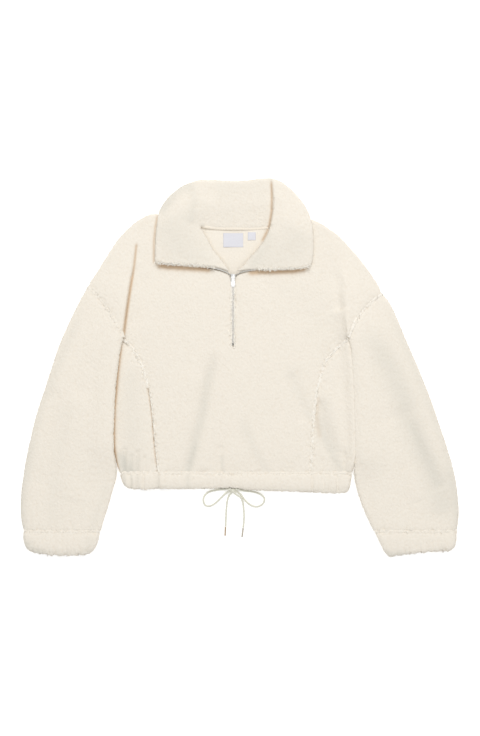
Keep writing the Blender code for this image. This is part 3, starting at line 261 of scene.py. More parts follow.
class FleeceSettings(bpy.types.PropertyGroup):
    """Cloth of the garment."""
    grain: length("Grain", "Spacing of the cloth's mesh", 0.00185, 0.001)
    plump: length("Plumpness", "How far the pile fills the cloth out", 0.0013)
    billow_size: length("Billow size", "Width of the soft unevenness", 0.040)
    billow: length("Billow", "Height of the soft unevenness", 0.0012)
    curl_size: length("Curl size", "Width of one curl of the pile", 0.0046)
    curl: length("Curl", "Height of the curls where the pile stands up", 0.0019)
    calm: amount("Calm", "Height of the curls elsewhere, as a share", 0.42, max=1.0,
                 subtype="FACTOR")
    wall: length("Wall", "Thickness of the cuffs' cloth", 0.0048)
    thin_wall: length("Thin wall", "Thickness of the cloth of every other tube", 0.0015)
    tip_colour: colour("Tips", "Colour of the curls' tips", (0.885, 0.838, 0.752))
    # painted shade: the colour of the hollows between the curls
    root_shade_colour: colour("Root shade", "Colour between the curls", (0.80, 0.715, 0.60))
    # painted shadow: the warm colour painted into creases and under edges
    crease_shadow_colour: colour("Crease shadow", "Colour deep in a crease", (0.62, 0.46, 0.31))
    # painted shade: the colour along the shade lines
    shade_colour: colour("Shade", "Colour where the pile is pressed together", (0.60, 0.585, 0.52))
    # painted highlight: the lighter colour of the raised seam rolls
    seam_highlight_colour: colour("Seams", "Colour of the pile that seams push up", (0.96, 0.925, 0.85))
    # painted highlight: the near-white colour of the loose curls
    curl_highlight_colour: colour("Loose curls", "Colour of the curls along seams and edges",
                        (1.0, 0.97, 0.90))
    binding_colour: colour("Binding", "Colour of the neck binding", (0.90, 0.83, 0.72))


class ZipSettings(bpy.types.PropertyGroup):
    """Half zip."""
    pitch: length("Tooth pitch", "Spacing of the teeth", 0.0022, 0.001)
    tooth: length("Tooth width", "How far a tooth reaches across", 0.0014, 0.0005)
    tape: length("Tape width", "Width of one tape", 0.0105, 0.002)
    metal_colour: colour("Pull tab", "Colour of the pull tab", (0.93, 0.93, 0.92))
    slider_colour: colour("Slider", "Colour of the slider", (0.66, 0.66, 0.65))
    stop_colour: colour("Bottom stop", "Colour of the bottom stop", (0.22, 0.215, 0.20))
    teeth_colour: colour("Teeth", "Colour of the teeth", (0.52, 0.51, 0.49))
    tape_colour: colour("Tape", "Colour of the woven tape", (0.93, 0.88, 0.79))


class CordSettings(bpy.types.PropertyGroup):
    """Drawcord and its tips."""
    thickness: length("Thickness", "Diameter of the cord", 0.0042, 0.001)
    strands: IntProperty(name="Strands", description="Strands across the braid", default=8, min=4)
    cord_colour: colour("Cord", "Colour of the cord", (0.76, 0.745, 0.64))
    tip_colour: colour("Left tip", "Colour of the left metal tip", (0.57, 0.44, 0.31))
    grey_tip_colour: colour("Right tip", "Colour of the right metal tip", (0.56, 0.505, 0.42))


class LabelSettings(bpy.types.PropertyGroup):
    """Blank labels at the back of the neck."""
    label_colour: colour("Labels", "Colour of the woven labels", (0.76, 0.755, 0.80))
    thread_colour: colour("Thread", "Colour of the labels' stitches", (0.90, 0.90, 0.93))
    thread_shade: colour("Thread shade", "Colour between the strands of the thread",
                         (0.72, 0.72, 0.78))
    stitch: length("Stitch", "Spacing of the stitches round the labels", 0.0022, 0.001)


class StageSettings(bpy.types.PropertyGroup):
    """Floor, light and camera."""
    floor_colour: colour("Floor", "Colour of the floor", (0.95, 0.95, 0.95))
    floor_glow: amount("Floor glow", "Light of its own that the floor has", 0.30)
    ambient: amount("Ambient", "Strength of the light all round", 0.845)
    key_power: amount("Key", "Power of the key light", 62.8, unit="POWER")
    top_power: amount("Top", "Power of the soft light overhead", 15.7, unit="POWER")
    frame_height: length("View height", "Height that the camera sees", 1.5824)
    lens: amount("Lens", "Focal length in millimetres", 85.0)


# ---------------------------------------------------------------- selection and modifiers
def only(item):
    """Select one object and make it active."""
    bpy.ops.object.select_all(action="DESELECT")
    item.select_set(True)
    bpy.context.view_layer.objects.active = item


@contextmanager
def edit_mode(piece, chosen=None):
    """Edit a piece with all of it selected, or only the faces that chosen picks."""
    only(piece)
    bpy.ops.object.mode_set(mode="EDIT")
    bpy.ops.mesh.select_all(action="DESELECT" if chosen else "SELECT")
    if chosen:
        bpy.ops.object.mode_set(mode="OBJECT")
        for face in piece.data.polygons:
            face.select = chosen(face)
        bpy.ops.object.mode_set(mode="EDIT")
    yield
    bpy.ops.object.mode_set(mode="OBJECT")


def looks_up_or_down(face):
    """Whether a face is level."""
    return abs(face.normal.z) > 0.9


def primitive(add, name, location=(0.0, 0.0, 0.0), scale=(1.0, 1.0, 1.0), **sizes):
    """A primitive from one of Blender's operators, with its place and size in its mesh."""
    bpy.ops.object.select_all(action="DESELECT")
    add(location=location, **sizes)
    piece = bpy.context.active_object
    piece.name = name
    piece.scale = scale
    bpy.ops.object.transform_apply(location=True, rotation=True, scale=True)
    return piece


def new_object(name, data):
    """An object at the origin for new data."""
    piece = bpy.data.objects.new(name, data)
    bpy.context.scene.collection.objects.link(piece)
    return piece


def modify(piece, name, kind, **settings):
    """Add a modifier with its settings."""
    step = piece.modifiers.new(name, kind)
    for setting, value in settings.items():
        setattr(step, setting, value)


def apply_all(item):
    """Apply every modifier in order."""
    only(item)
    for modifier in list(item.modifiers):
        bpy.ops.object.modifier_apply(modifier=modifier.name)


def numbers(items, name):
    """Three numbers of each item, as rows of an array."""
    flat = np.empty(len(items) * 3, dtype=np.float32)
    items.foreach_get(name, flat)
    return flat.reshape(-1, 3)


def positions(mesh):
    """Vertex positions as an array."""
    return numbers(mesh.vertices, "co")


def normals(mesh):
    """Vertex normals as an array."""
    return numbers(mesh.vertex_normals, "vector")


def set_positions(mesh, points):
    """Write vertex positions back."""
    mesh.vertices.foreach_set("co", np.ascontiguousarray(points, dtype=np.float32).ravel())
    mesh.update()


def ease(values):
    """Ease from 0 to 1."""
    values = np.clip(values, 0.0, 1.0)
    return values * values * (3 - 2 * values)


def mark(mesh, name, values):
    """Keep one number for each vertex, for the material."""
    attribute = mesh.attributes.get(name) or mesh.attributes.new(name, "FLOAT", "POINT")
    attribute.data.foreach_set("value", np.ascontiguousarray(values, dtype=np.float32))


def weigh(piece, name, values, steps=16):
    """A vertex group from an array, in a few even steps."""
    group = piece.vertex_groups.new(name=name)
    rounded = np.round(np.clip(values, 0.0, 1.0) * steps).astype(int)
    for step in range(1, steps + 1):
        chosen = np.nonzero(rounded == step)[0].tolist()
        if chosen:
            group.add(chosen, step / steps, "REPLACE")


# ---------------------------------------------------------------- cloth from its solid
MERGE = 1e-6            # points nearer than this are one
RIM_ROUNDS = 40         # how often an open edge is evened out
FEWEST_FACES = 900      # a smaller island of a skin is a scrap
DEEP_FOLD = 0.004       # folds that move the cloth further than this are smoothed
FLOOR_GAP = 0.0001      # how far the pile stays above the floor


def plan(mesh_points):
    """Plan of mesh points in design millimetres."""
    return mesh_points[:, :2].astype(np.float64) / MM - np.array((-0.5, 1.6))


def merged(node):
    """A solid's mesh, its doubles merged."""
    build = bmesh.new()
    build.from_mesh(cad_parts[node].data)
    bmesh.ops.remove_doubles(build, verts=build.verts[:], dist=MERGE)
    return build


def cloth_copy(node, name):
    """A copy of a solid as merged quads."""
    build = merged(node)
    bmesh.ops.join_triangles(build, faces=build.faces[:], angle_face_threshold=math.radians(40),
                             angle_shape_threshold=math.radians(60))
    mesh = bpy.data.meshes.new(name)
    build.to_mesh(mesh)
    build.free()
    return new_object(name, mesh)


def skins(node):
    """The solid's faces as a search tree, and which of them are its inside or its rims."""
    build = merged(node)
    build.normal_update()
    tree = BVHTree.FromBMesh(build)
    inside = set()
    for face in build.faces:
        start = face.calc_center_median() + face.normal * 5e-5
        across = face.normal.orthogonal()
        hits = 0
        for turn in range(8):
            lean = Matrix.Rotation(math.radians(45 * turn), 3, face.normal) @ across
            way = (face.normal + 0.9 * lean).normalized()
            hits += tree.ray_cast(start, way, 0.4)[0] is not None
        if hits >= 7:
            inside.add(face)
    rims = {face for face in build.faces if face not in inside
            and any(other in inside for edge in face.edges for other in edge.link_faces)}
    unseen = [face in inside or face in rims for face in build.faces]
    build.free()
    return tree, unseen


def even_mesh(piece, grain):
    """Round the cloth's form and give it an even mesh."""
    modify(piece, "form", "SUBSURF", levels=2, render_levels=2)
    modify(piece, "even", "REMESH", mode="VOXEL", voxel_size=grain)
    modify(piece, "calm", "SMOOTH", factor=0.5, iterations=4)
    apply_all(piece)


def calm_rims(build):
    """Even out the open edges of a skin, along themselves."""
    beside = {}
    for edge in build.edges:
        if edge.is_boundary:
            for vertex in edge.verts:
                beside.setdefault(vertex, []).append(edge.other_vert(vertex))
    rims = [vertex for vertex, others in beside.items() if len(others) == 2]
    place = {vertex: number for number, vertex in enumerate(rims)}
    points = np.array([tuple(vertex.co) for vertex in rims])
    pairs = np.array([[place.get(other, number) for other in beside[vertex]]
                      for number, vertex in enumerate(rims)])
    for _ in range(RIM_ROUNDS):
        points = 0.5 * points + 0.25 * (points[pairs[:, 0]] + points[pairs[:, 1]])
    for vertex, point in zip(rims, points):
        vertex.co = point


def keep_outside(piece, node):
    """Leave the outer skin of a tube only, open at its ends."""
    tree, unseen = skins(node)
    build = bmesh.new()
    build.from_mesh(piece.data)
    gone = [face for face in build.faces
            if unseen[tree.find_nearest(face.calc_center_median())[2]]]
    bmesh.ops.delete(build, geom=gone, context="FACES")
    left = set(build.faces)
    scraps = []
    while left:
        island = [left.pop()]
        for face in island:
            for edge in face.edges:
                for other in edge.link_faces:
                    if other in left:
                        left.remove(other)
                        island.append(other)
        if len(island) < FEWEST_FACES:
            scraps += island
    bmesh.ops.delete(build, geom=scraps, context="FACES")
    calm_rims(build)
    build.to_mesh(piece.data)
    build.free()


def bell(away, width):
    """A soft bell round a line, 1 on it."""
    return np.exp(-(away / width) ** 2)


def lay_folds(piece):
    """Press the listed troughs and ridges into the upper side."""
    points = positions(piece.data)
    upper = ease(normals(piece.data)[:, 2] / 0.5)
    flat = plan(points)
    for line, width, depth in FOLDS.get(piece.name, ()):
        away, share = reach(flat, line)
        ends = ease(share / 0.14) * ease((1.0 - share) / 0.10 + 0.35)
        points[:, 2] += depth * MM * bell(away, width) * ends * upper
    moved = np.abs(points - positions(piece.data))[:, 2]
    set_positions(piece.data, points)
    if moved.max() > DEEP_FOLD:
        weigh(piece, "folded", ease(moved / 0.003))
        modify(piece, "calm", "SMOOTH", factor=0.5, iterations=8, vertex_group="folded")
        apply_all(piece)


def gather(piece, line, depth, spread, seed):
    """Scallop a casing beside a line, as its elastic or cord draws it in."""
    chance = random.Random(seed)
    points = positions(piece.data)
    away, share = reach(plan(points), line)
    long = sum(math.dist(a[:2], b[:2]) for a, b in zip(line, line[1:]))
    wave = np.zeros(len(points))
    for pitch in (9.0, 13.0, 17.5, 24.0):
        turn = chance.uniform(0, 2 * math.pi)
        wave += np.sin(2 * math.pi * share * long / pitch + turn) * (0.35 + 0.02 * pitch)
    push = depth * MM * wave / 1.6 * bell(away, spread)
    points += normals(piece.data) * push[:, None]
    set_positions(piece.data, points)


def add_relief(piece, kind, size, height, middle, group):
    """One layer of relief along the normals."""
    texture = bpy.data.textures.new(f"{piece.name}_{kind.lower()}_{size:.4f}", kind)
    texture.noise_scale = size
    if kind == "VORONOI":
        texture.distance_metric = "DISTANCE_SQUARED"
    modify(piece, kind.lower(), "DISPLACE", texture=texture, texture_coords="LOCAL",
           strength=height, mid_level=middle, vertex_group=group)


def raise_pile(piece, fleece, show=None, curl=None):
    """Cover a piece in curls; where show is given, 1 for pile, the cloth fills out and billows."""
    if show is None:
        show = np.ones(len(piece.data.vertices))
    else:
        weigh(piece, "cloth", show)
        modify(piece, "filling", "DISPLACE", strength=fleece.plump, mid_level=0.0,
               vertex_group="cloth")
        add_relief(piece, "CLOUDS", fleece.billow_size, fleece.billow, 0.5, "cloth")
        apply_all(piece)
    curl = curl or fleece.curl
    before = positions(piece.data)
    flat = plan(before)
    ways = normals(piece.data)
    standing = 1.0 - ease((ways[:, 2] - 0.45) / 0.45)
    for line, width in STANDING_PILE:
        standing = np.maximum(standing, bell(reach(flat, line)[0], width))
    weigh(piece, "pile", show * (fleece.calm + (1.0 - fleece.calm) * standing))
    add_relief(piece, "VORONOI", fleece.curl_size, -curl, 0.30, "pile")
    add_relief(piece, "CLOUDS", fleece.curl_size * 0.9, curl * 0.55, 0.5, "pile")
    apply_all(piece)
    after = positions(piece.data)
    rise = np.einsum("ij,ij->i", after - before, ways) / curl
    # how high the pile stands; low places get the painted shade of the hollows
    mark(piece.data, "curl", np.clip(0.62 + rise, 0.0, 1.0))
    after[:, 2] = np.maximum(after[:, 2], FLOOR_GAP)
    set_positions(piece.data, after)
    piece.vertex_groups.clear()


def mark_painted_shade(piece):
    """Mark the painted shadow where the cloth is deep in a crease or under an edge, and the
    painted shade along the shade lines.
    """
    points = positions(piece.data)
    flat = plan(points)
    deep = np.zeros(len(points))
    for pieces, line, width, strength in CREASE_SHADOW_LINES:
        if piece.name in pieces.split():
            away, share = reach(flat, line)
            ends = ease(share / 0.12 + 0.15) * ease((1.0 - share) / 0.06 + 0.3)
            deep = np.maximum(deep, strength * bell(away, width) * ends)
    # painted shadow in creases and under edges
    mark(piece.data, "crease", deep)
    # painted shade along the shade lines, on upward faces only
    shade = np.zeros(len(points))
    for pieces, line, width, strength in SHADE_LINES:
        if piece.name in pieces.split():
            away, share = reach(flat, line)
            shade += strength * bell(away, width) * ease(share / 0.25 + 0.1)
    upper = ease(normals(piece.data)[:, 2] / 0.3)
    mark(piece.data, "shade", np.clip(shade * upper, 0.0, 0.75))


def give_wall(piece, thickness):
    """Give an open skin the thickness of its cloth, inwards."""
    modify(piece, "wall", "SOLIDIFY", thickness=thickness, offset=-1.0, use_even_offset=False)
    apply_all(piece)


def thin_hidden(piece, hidden, ratio):
    """Fewer faces where nobody sees them."""
    weigh(piece, "hidden", hidden)
    modify(piece, "fewer", "DECIMATE", ratio=ratio, vertex_group="hidden")
    apply_all(piece)
    piece.vertex_groups.clear()


def height_on(pieces, spot):
    """Height of the highest of some pieces at a place in plan."""
    best = 0.0
    for piece in pieces:
        hit, place, _, _ = piece.ray_cast(Vector((spot[0], spot[1], 0.2)), Vector((0, 0, -1)))
        if hit:
            best = max(best, place.z)
    return best


def seat(pieces, route, rise, around, calm=7):
    """Lay a line of points on the cloth: over gaps, and without following each curl."""
    heights = []
    for point in route:
        near = [point] + [point + Vector((math.cos(turn), math.sin(turn), 0.0)) * around * MM
                          for turn in (number * math.pi / 3 for number in range(6))]
        heights.append(sorted(height_on(pieces, spot) for spot in near)[-3])
    for number, point in enumerate(route):
        low, high = max(0, number - calm), min(len(route), number + calm + 1)
        point.z = sum(heights[low:high]) / (high - low) + rise * MM
    return route


def tube_along(name, points, radius, sides):
    """A round tube on a line of points, as a closed mesh."""
    curve = bpy.data.curves.new(name, "CURVE")
    curve.dimensions = "3D"
    curve.bevel_depth = radius
    curve.bevel_resolution = sides // 2 - 2
    curve.use_fill_caps = True
    spline = curve.splines.new("POLY")
    spline.points.add(len(points) - 1)
    for knot, point in zip(spline.points, points):
        knot.co = (*point, 1.0)
    piece = new_object(name, curve)
    only(piece)
    bpy.ops.object.convert(target="MESH")
    with edit_mode(piece):
        bpy.ops.mesh.remove_doubles(threshold=MERGE)
        bpy.ops.mesh.normals_make_consistent(inside=False)
    return piece


def flatten(piece, route, share):
    """Press a tube along a route to a share of its height."""
    points = positions(piece.data)
    line = np.array([tuple(point) for point in route])
    for number, point in enumerate(points):
        middle = line[int(np.argmin(((line[:, :2] - point[:2]) ** 2).sum(axis=1))), 2]
        points[number, 2] = middle + (point[2] - middle) * share
    set_positions(piece.data, points)


def spaced(line, spacing):
    """Points at an even spacing on a smooth curve through a line's own points."""
    knots = [Vector(point) for point in line]
    knots = [knots[0] * 2 - knots[1]] + knots + [knots[-1] * 2 - knots[-2]]
    fine = []
    for number in range(1, len(knots) - 2):
        before, start, end, after = knots[number - 1:number + 3]
        for part in range(16):
            t = part / 16
            fine.append(0.5 * ((2 * start) + (end - before) * t
                               + (2 * before - 5 * start + 4 * end - after) * t * t
                               + (3 * start - before - 3 * end + after) * t ** 3))
    fine.append(knots[-2])
    lengths = [0.0]
    for first, second in zip(fine, fine[1:]):
        lengths.append(lengths[-1] + (second - first).length)
    count = max(2, round(lengths[-1] / spacing))
    route = []
    place = 0
    for step in range(count + 1):
        wanted = lengths[-1] * step / count
        while place < len(fine) - 2 and lengths[place + 1] < wanted:
            place += 1
        span = lengths[place + 1] - lengths[place] or 1.0
        route.append(fine[place].lerp(fine[place + 1], (wanted - lengths[place]) / span))
    return route


# ---------------------------------------------------------------- nodes
def feed(tree, target, inputs):
    """Set a node's inputs: each gets a value, or the output that feeds it."""
    for name, value in inputs.items():
        if hasattr(value, "links"):
            tree.links.new(value, target.inputs[name])
        else:
            target.inputs[name].default_value = value


def add_node(tree, kind, inputs=None, **settings):
    """A new node with its settings and inputs."""
    made = tree.nodes.new(kind)
    for name, value in settings.items():
        setattr(made, name, value)
    feed(tree, made, inputs or {})
    return made


def group_with(name, kind, inputs, outputs):
    """A node group with named sockets."""
    tree = bpy.data.node_groups.new(name, kind)
    for label, socket in inputs.items():
        tree.interface.new_socket(name=label, in_out="INPUT", socket_type=socket)
    for label, socket in outputs.items():
        tree.interface.new_socket(name=label, in_out="OUTPUT", socket_type=socket)
    return tree, tree.nodes.new("NodeGroupInput"), tree.nodes.new("NodeGroupOutput")


def strew_group():
    """Geometry nodes: a copy of a model on each point, turned and sized by its attributes."""
    if "strew" in bpy.data.node_groups:
        return bpy.data.node_groups["strew"]
    tree, given, result = group_with(
        "strew", "GeometryNodeTree",
        {"Geometry": "NodeSocketGeometry", "Model": "NodeSocketObject"},
        {"Geometry": "NodeSocketGeometry"})
    model = add_node(tree, "GeometryNodeObjectInfo", {"Object": given.outputs["Model"]})
    turn = add_node(tree, "GeometryNodeInputNamedAttribute", {"Name": "turn"},
                    data_type="FLOAT_VECTOR")
    size = add_node(tree, "GeometryNodeInputNamedAttribute", {"Name": "size"}, data_type="FLOAT")
    euler = add_node(tree, "FunctionNodeEulerToRotation", {"Euler": turn.outputs["Attribute"]})
    place = add_node(tree, "GeometryNodeInstanceOnPoints", {
        "Points": given.outputs["Geometry"], "Instance": model.outputs["Geometry"],
        "Rotation": euler.outputs["Rotation"], "Scale": size.outputs["Attribute"]})
    real = add_node(tree, "GeometryNodeRealizeInstances", {"Geometry": place.outputs["Instances"]})
    feed(tree, result, {"Geometry": real.outputs["Geometry"]})
    return tree


def strew(name, model, places):
    """Copies of a model at places, each (point, turn, size), joined in one piece."""
    mesh = bpy.data.meshes.new(name)
    mesh.vertices.add(len(places))
    set_positions(mesh, np.array([tuple(place[0]) for place in places]))
    turn = mesh.attributes.new("turn", "FLOAT_VECTOR", "POINT")
    turn.data.foreach_set("vector", np.array([tuple(place[1]) for place in places],
                                             dtype=np.float32).ravel())
    mark(mesh, "size", np.array([place[2] for place in places]))
    piece = new_object(name, mesh)
    layer = piece.modifiers.new("strew", "NODES")
    layer.node_group = strew_group()
    model_socket = next(item.identifier for item in layer.node_group.interface.items_tree
                        if item.name == "Model")
    layer[model_socket] = model
    apply_all(piece)
    bpy.data.objects.remove(model)
    for attribute in ("turn", "size"):
        if attribute in piece.data.attributes:
            piece.data.attributes.remove(piece.data.attributes[attribute])
    return piece


# ---------------------------------------------------------------- materials
def once(build):
    """Build a material the first time that its name is asked for."""
    return lambda name, *values: bpy.data.materials.get(name) or build(name, *values)


def material(name):
    """A new node material and its parts."""
    made = bpy.data.materials.new(name)
    made.use_nodes = True
    return made, made.node_tree, made.node_tree.nodes["Principled BSDF"]


def darker(tint, share):
    """A colour at a share of its brightness."""
    return tuple(share * part for part in tint)


def object_place(tree):
    """Object coordinates."""
    return add_node(tree, "ShaderNodeTexCoord").outputs["Object"]


def attribute(tree, name):
    """A number that mark kept on the vertices."""
    return add_node(tree, "ShaderNodeAttribute", attribute_name=name).outputs["Fac"]


def mix_colours(tree, factor, first, second):
    """A colour between two."""
    first, second = (value if hasattr(value, "links") else (*value, 1.0)
                     for value in (first, second))
    return add_node(tree, "ShaderNodeMix", {0: factor, 6: first, 7: second},
                    data_type="RGBA").outputs[2]


def sum_of(tree, first, second, operation="ADD", clamp=False):
    """A sum, product or other result of two values, either of which may be a number."""
    return add_node(tree, "ShaderNodeMath", {0: first, 1: second}, operation=operation,
                    use_clamp=clamp).outputs[0]


def weighted(tree, first, share, second, other_share, clamp=False):
    """Two values added, each at its own share."""
    return sum_of(tree, sum_of(tree, first, share, "MULTIPLY"),
                  sum_of(tree, second, other_share, "MULTIPLY"), "ADD", clamp)


def bumped(tree, height, distance, strength):
    """The normal that a height gives."""
    return add_node(tree, "ShaderNodeBump", {"Distance": distance, "Strength": strength,
                                             "Height": height}).outputs["Normal"]


def pile_group():
    """Colour and surface of a curly pile, with painted shade in its hollows, painted shade along
    the shade lines and painted shadow in creases.
    """
    if "curly_pile" in bpy.data.node_groups:
        return bpy.data.node_groups["curly_pile"]
    tree, given, result = group_with(
        "curly_pile", "ShaderNodeTree",
        {"Tips": "NodeSocketColor", "Root shade": "NodeSocketColor", "Crease shadow": "NodeSocketColor",
         "Shade": "NodeSocketColor", "Curls": "NodeSocketFloat", "Strength": "NodeSocketFloat"},
        {"Colour": "NodeSocketColor", "Normal": "NodeSocketVector"})
    place = object_place(tree)
    curls = add_node(tree, "ShaderNodeTexVoronoi", {
        "Smoothness": 0.5, "Scale": given.outputs["Curls"], "Vector": place}, feature="SMOOTH_F1")
    strands = add_node(tree, "ShaderNodeTexWave", {
        "Distortion": 26.0, "Detail": 2.0, "Detail Scale": 1.4, "Scale": 190.0, "Vector": place},
        wave_type="RINGS", rings_direction="SPHERICAL")
    fibres = add_node(tree, "ShaderNodeTexNoise", {"Scale": 1100.0, "Detail": 2.0,
                                                   "Vector": place})
    rounded = sum_of(tree, 1.0, curls.outputs["Distance"], "SUBTRACT", True)
    strand = weighted(tree, strands.outputs["Fac"], 0.24, fibres.outputs["Fac"], 0.26)
    height = sum_of(tree, rounded, strand)
    depth = weighted(tree, attribute(tree, "curl"), 0.70, height, 0.34)
    level = sum_of(tree, depth, 0.04, "SUBTRACT", True)
    # painted shade in the hollows between the curls, low in the relief
    base = mix_colours(tree, level, given.outputs["Root shade"], given.outputs["Tips"])
    # painted shade along the shade lines
    toned = mix_colours(tree, attribute(tree, "shade"), base, given.outputs["Shade"])
    # painted shadow in creases and under edges
    final = mix_colours(tree, attribute(tree, "crease"), toned, given.outputs["Crease shadow"])
    feed(tree, result, {"Colour": final,
                        "Normal": bumped(tree, height, 0.0012, given.outputs["Strength"])})
    return tree


@once
def fleece_material(name, fleece, tips, strength):
    """Fleece with the curly pile group in it."""
    made, tree, shader = material(name)
    pile = add_node(tree, "ShaderNodeGroup", node_tree=pile_group())
    feed(tree, pile, {"Tips": (*tips, 1.0), "Root shade": (*fleece.root_shade_colour, 1.0),
                      "Crease shadow": (*fleece.crease_shadow_colour, 1.0),
                      "Shade": (*fleece.shade_colour, 1.0), "Curls": 1.2 / fleece.curl_size,
                      "Strength": strength})
    feed(tree, shader, {"Base Color": pile.outputs["Colour"], "Normal": pile.outputs["Normal"],
                        "Roughness": 0.95, "Specular IOR Level": 0.12, "Sheen Weight": 0.12,
                        "Sheen Roughness": 0.5, "Sheen Tint": (1.0, 0.97, 0.92, 1.0)})
    return made


def cream(fleece):
    """The fleece of every cloth piece."""
    return fleece_material("cream_fleece", fleece, tuple(fleece.tip_colour), 0.38)


@once
def metal_material(name, tint, roughness):
    """Brushed metal with slight wear."""
    made, tree, shader = material(name)
    stretch = add_node(tree, "ShaderNodeMapping", {"Scale": (2600.0, 260.0, 400.0),
                                                   "Vector": object_place(tree)})
    grain = add_node(tree, "ShaderNodeTexNoise", {"Scale": 1.0,
                                                  "Vector": stretch.outputs["Vector"]})
    rough = add_node(tree, "ShaderNodeMapRange", {
        "To Min": roughness * 0.8, "To Max": roughness * 1.3, "Value": grain.outputs["Fac"]})
    tone = mix_colours(tree, grain.outputs["Fac"], darker(tint, 0.88), tint)
    feed(tree, shader, {"Roughness": rough.outputs[0], "Base Color": tone, "Metallic": 1.0})
    return made


@once
def woven_material(name, tint, shade, threads, strength):
    """Fine plain weave, for tape and labels: shade is the colour between its threads."""
    made, tree, shader = material(name)
    place = object_place(tree)
    across, along = (
        add_node(tree, "ShaderNodeTexWave", {"Scale": threads, "Distortion": 0.8, "Vector": place},
                 bands_direction=direction).outputs["Fac"] for direction in ("X", "Y"))
    weave = sum_of(tree, across, along, "MULTIPLY")
    feed(tree, shader, {
        "Base Color": mix_colours(tree, weave, shade, tint),
        "Normal": bumped(tree, weave, 0.0002, strength), "Roughness": 0.65, "Sheen Weight": 0.2})
    return made


@once
def braid_material(name, tint):
    """Braided cotton: lighter on the strands, with painted shade in the grooves between them."""
    made, tree, shader = material(name)
    fibres = add_node(tree, "ShaderNodeTexNoise", {"Scale": 1500.0, "Detail": 2.0,
                                                   "Vector": object_place(tree)}).outputs["Fac"]
    depth = weighted(tree, attribute(tree, "strand"), 0.7, fibres, 0.35, True)
    feed(tree, shader, {
        "Base Color": mix_colours(tree, depth, darker(tint, 0.84), tint),
        "Normal": bumped(tree, fibres, 0.0002, 0.4), "Roughness": 0.8, "Sheen Weight": 0.15})
    return made


def dress(piece, look, nodes=(), body=GARMENT, smooth=True):
    """Material, body and the CAD nodes that a piece stands for."""
    piece.data.materials.clear()
    piece.data.materials.append(look)
    if smooth:
        piece.data.shade_smooth()
    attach(piece, body)
    if nodes:
        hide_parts(*nodes)


# ---------------------------------------------------------------- the drawcord
LOOP_LEFT = [(-23.4, -262.9, 8.0), (-33, -263.6, 5.0), (-48, -265, 2.1), (-67, -270, 2.1),
             (-77, -281, 2.1), (-76, -295, 2.1), (-67, -300, 2.1), (-54, -295, 2.1),
             (-41, -283, 2.1), (-31, -273.5, 3.2), (-24, -268.6, 4.6)]
LOOP_RIGHT = [(-4.6, -262.9, 8.0), (4, -265.4, 5.0), (15, -267.4, 2.1), (31, -269.4, 2.1),
              (46, -275, 2.1), (54, -284, 2.1), (50, -295, 2.1), (38, -301, 2.1),
              (24, -297.5, 2.1), (12, -287, 2.1), (4, -276.5, 2.1), (-3.6, -269.4, 4.2)]
END_LEFT = [(-18.2, -271.2, 5.4), (-22.5, -277, 3.2), (-26, -287, 2.1), (-28, -304, 2.1),
            (-29, -323, 2.1), (-30, -343.6, 2.3)]
END_RIGHT = [(-10.0, -271.8, 7.4), (-5, -276, 7.6), (3, -281.5, 7.0), (7.6, -292, 4.0),
             (9, -306, 2.1), (10, -322, 2.1), (9, -338, 2.1), (8, -346.6, 2.3)]
# Turns of the knot: two bands round the middle and the strands that pass under them
TWELFTHS = [number * math.pi / 6 for number in range(13)]
KNOT_TURNS = [
    [(-16.6 + 1.3 * math.sin(t), -266.2 + 3.7 * math.cos(t), 6.2 + 3.2 * math.sin(t))
     for t in TWELFTHS],
    [(-11.6 - 1.3 * math.sin(t), -266.4 + 3.4 * math.cos(t), 6.1 + 2.9 * math.sin(t))
     for t in TWELFTHS],
    [(-23.8, -262.9, 7.9), (-20.6, -263.6, 8.4), (-17.0, -265.0, 7.2), (-13.0, -266.4, 6.6)],
    [(-4.2, -262.9, 7.9), (-7.4, -263.8, 8.4), (-11.0, -265.2, 7.2), (-15.0, -266.6, 6.6)],
    [(-24.4, -268.9, 4.5), (-20.6, -267.4, 5.4), (-16.0, -266.6, 6.2)],
    [(-3.2, -269.7, 4.1), (-7.0, -268.0, 5.2), (-12.0, -266.8, 6.2)],
    [(-18.5, -271.6, 5.3), (-16.6, -269.2, 6.2), (-14.6, -266.8, 6.4)],
    [(-9.6, -272.1, 7.4), (-11.6, -269.6, 7.2), (-13.4, -267.2, 6.6)],
]
CORD_SIDES = 24
CORD_STEP, KNOT_STEP = 0.0009, 0.0008   # spacing of the points of a cord and of the knot
BRAID_PITCH = 1.9                       # length of a strand's turn, in cord thicknesses
BRAID_RELIEF, BRAID_LEVEL = 0.075, 0.55     # height of the strands, and what part sinks in
TIP_RADIUS, TIP_LENGTH = 0.0023, 0.020
TIP_PLACE = 0.0105                      # from the cord's end to the middle of its tip
TIP_CRIMPS = (-0.0072, 0.0060)          # places of the tip's two grooves along it
TIP_RIMS = (-0.0085, 0.0072)            # and the far sides of the grooves
CRIMP_SHARE = 0.93                      # of the radius, in the grooves


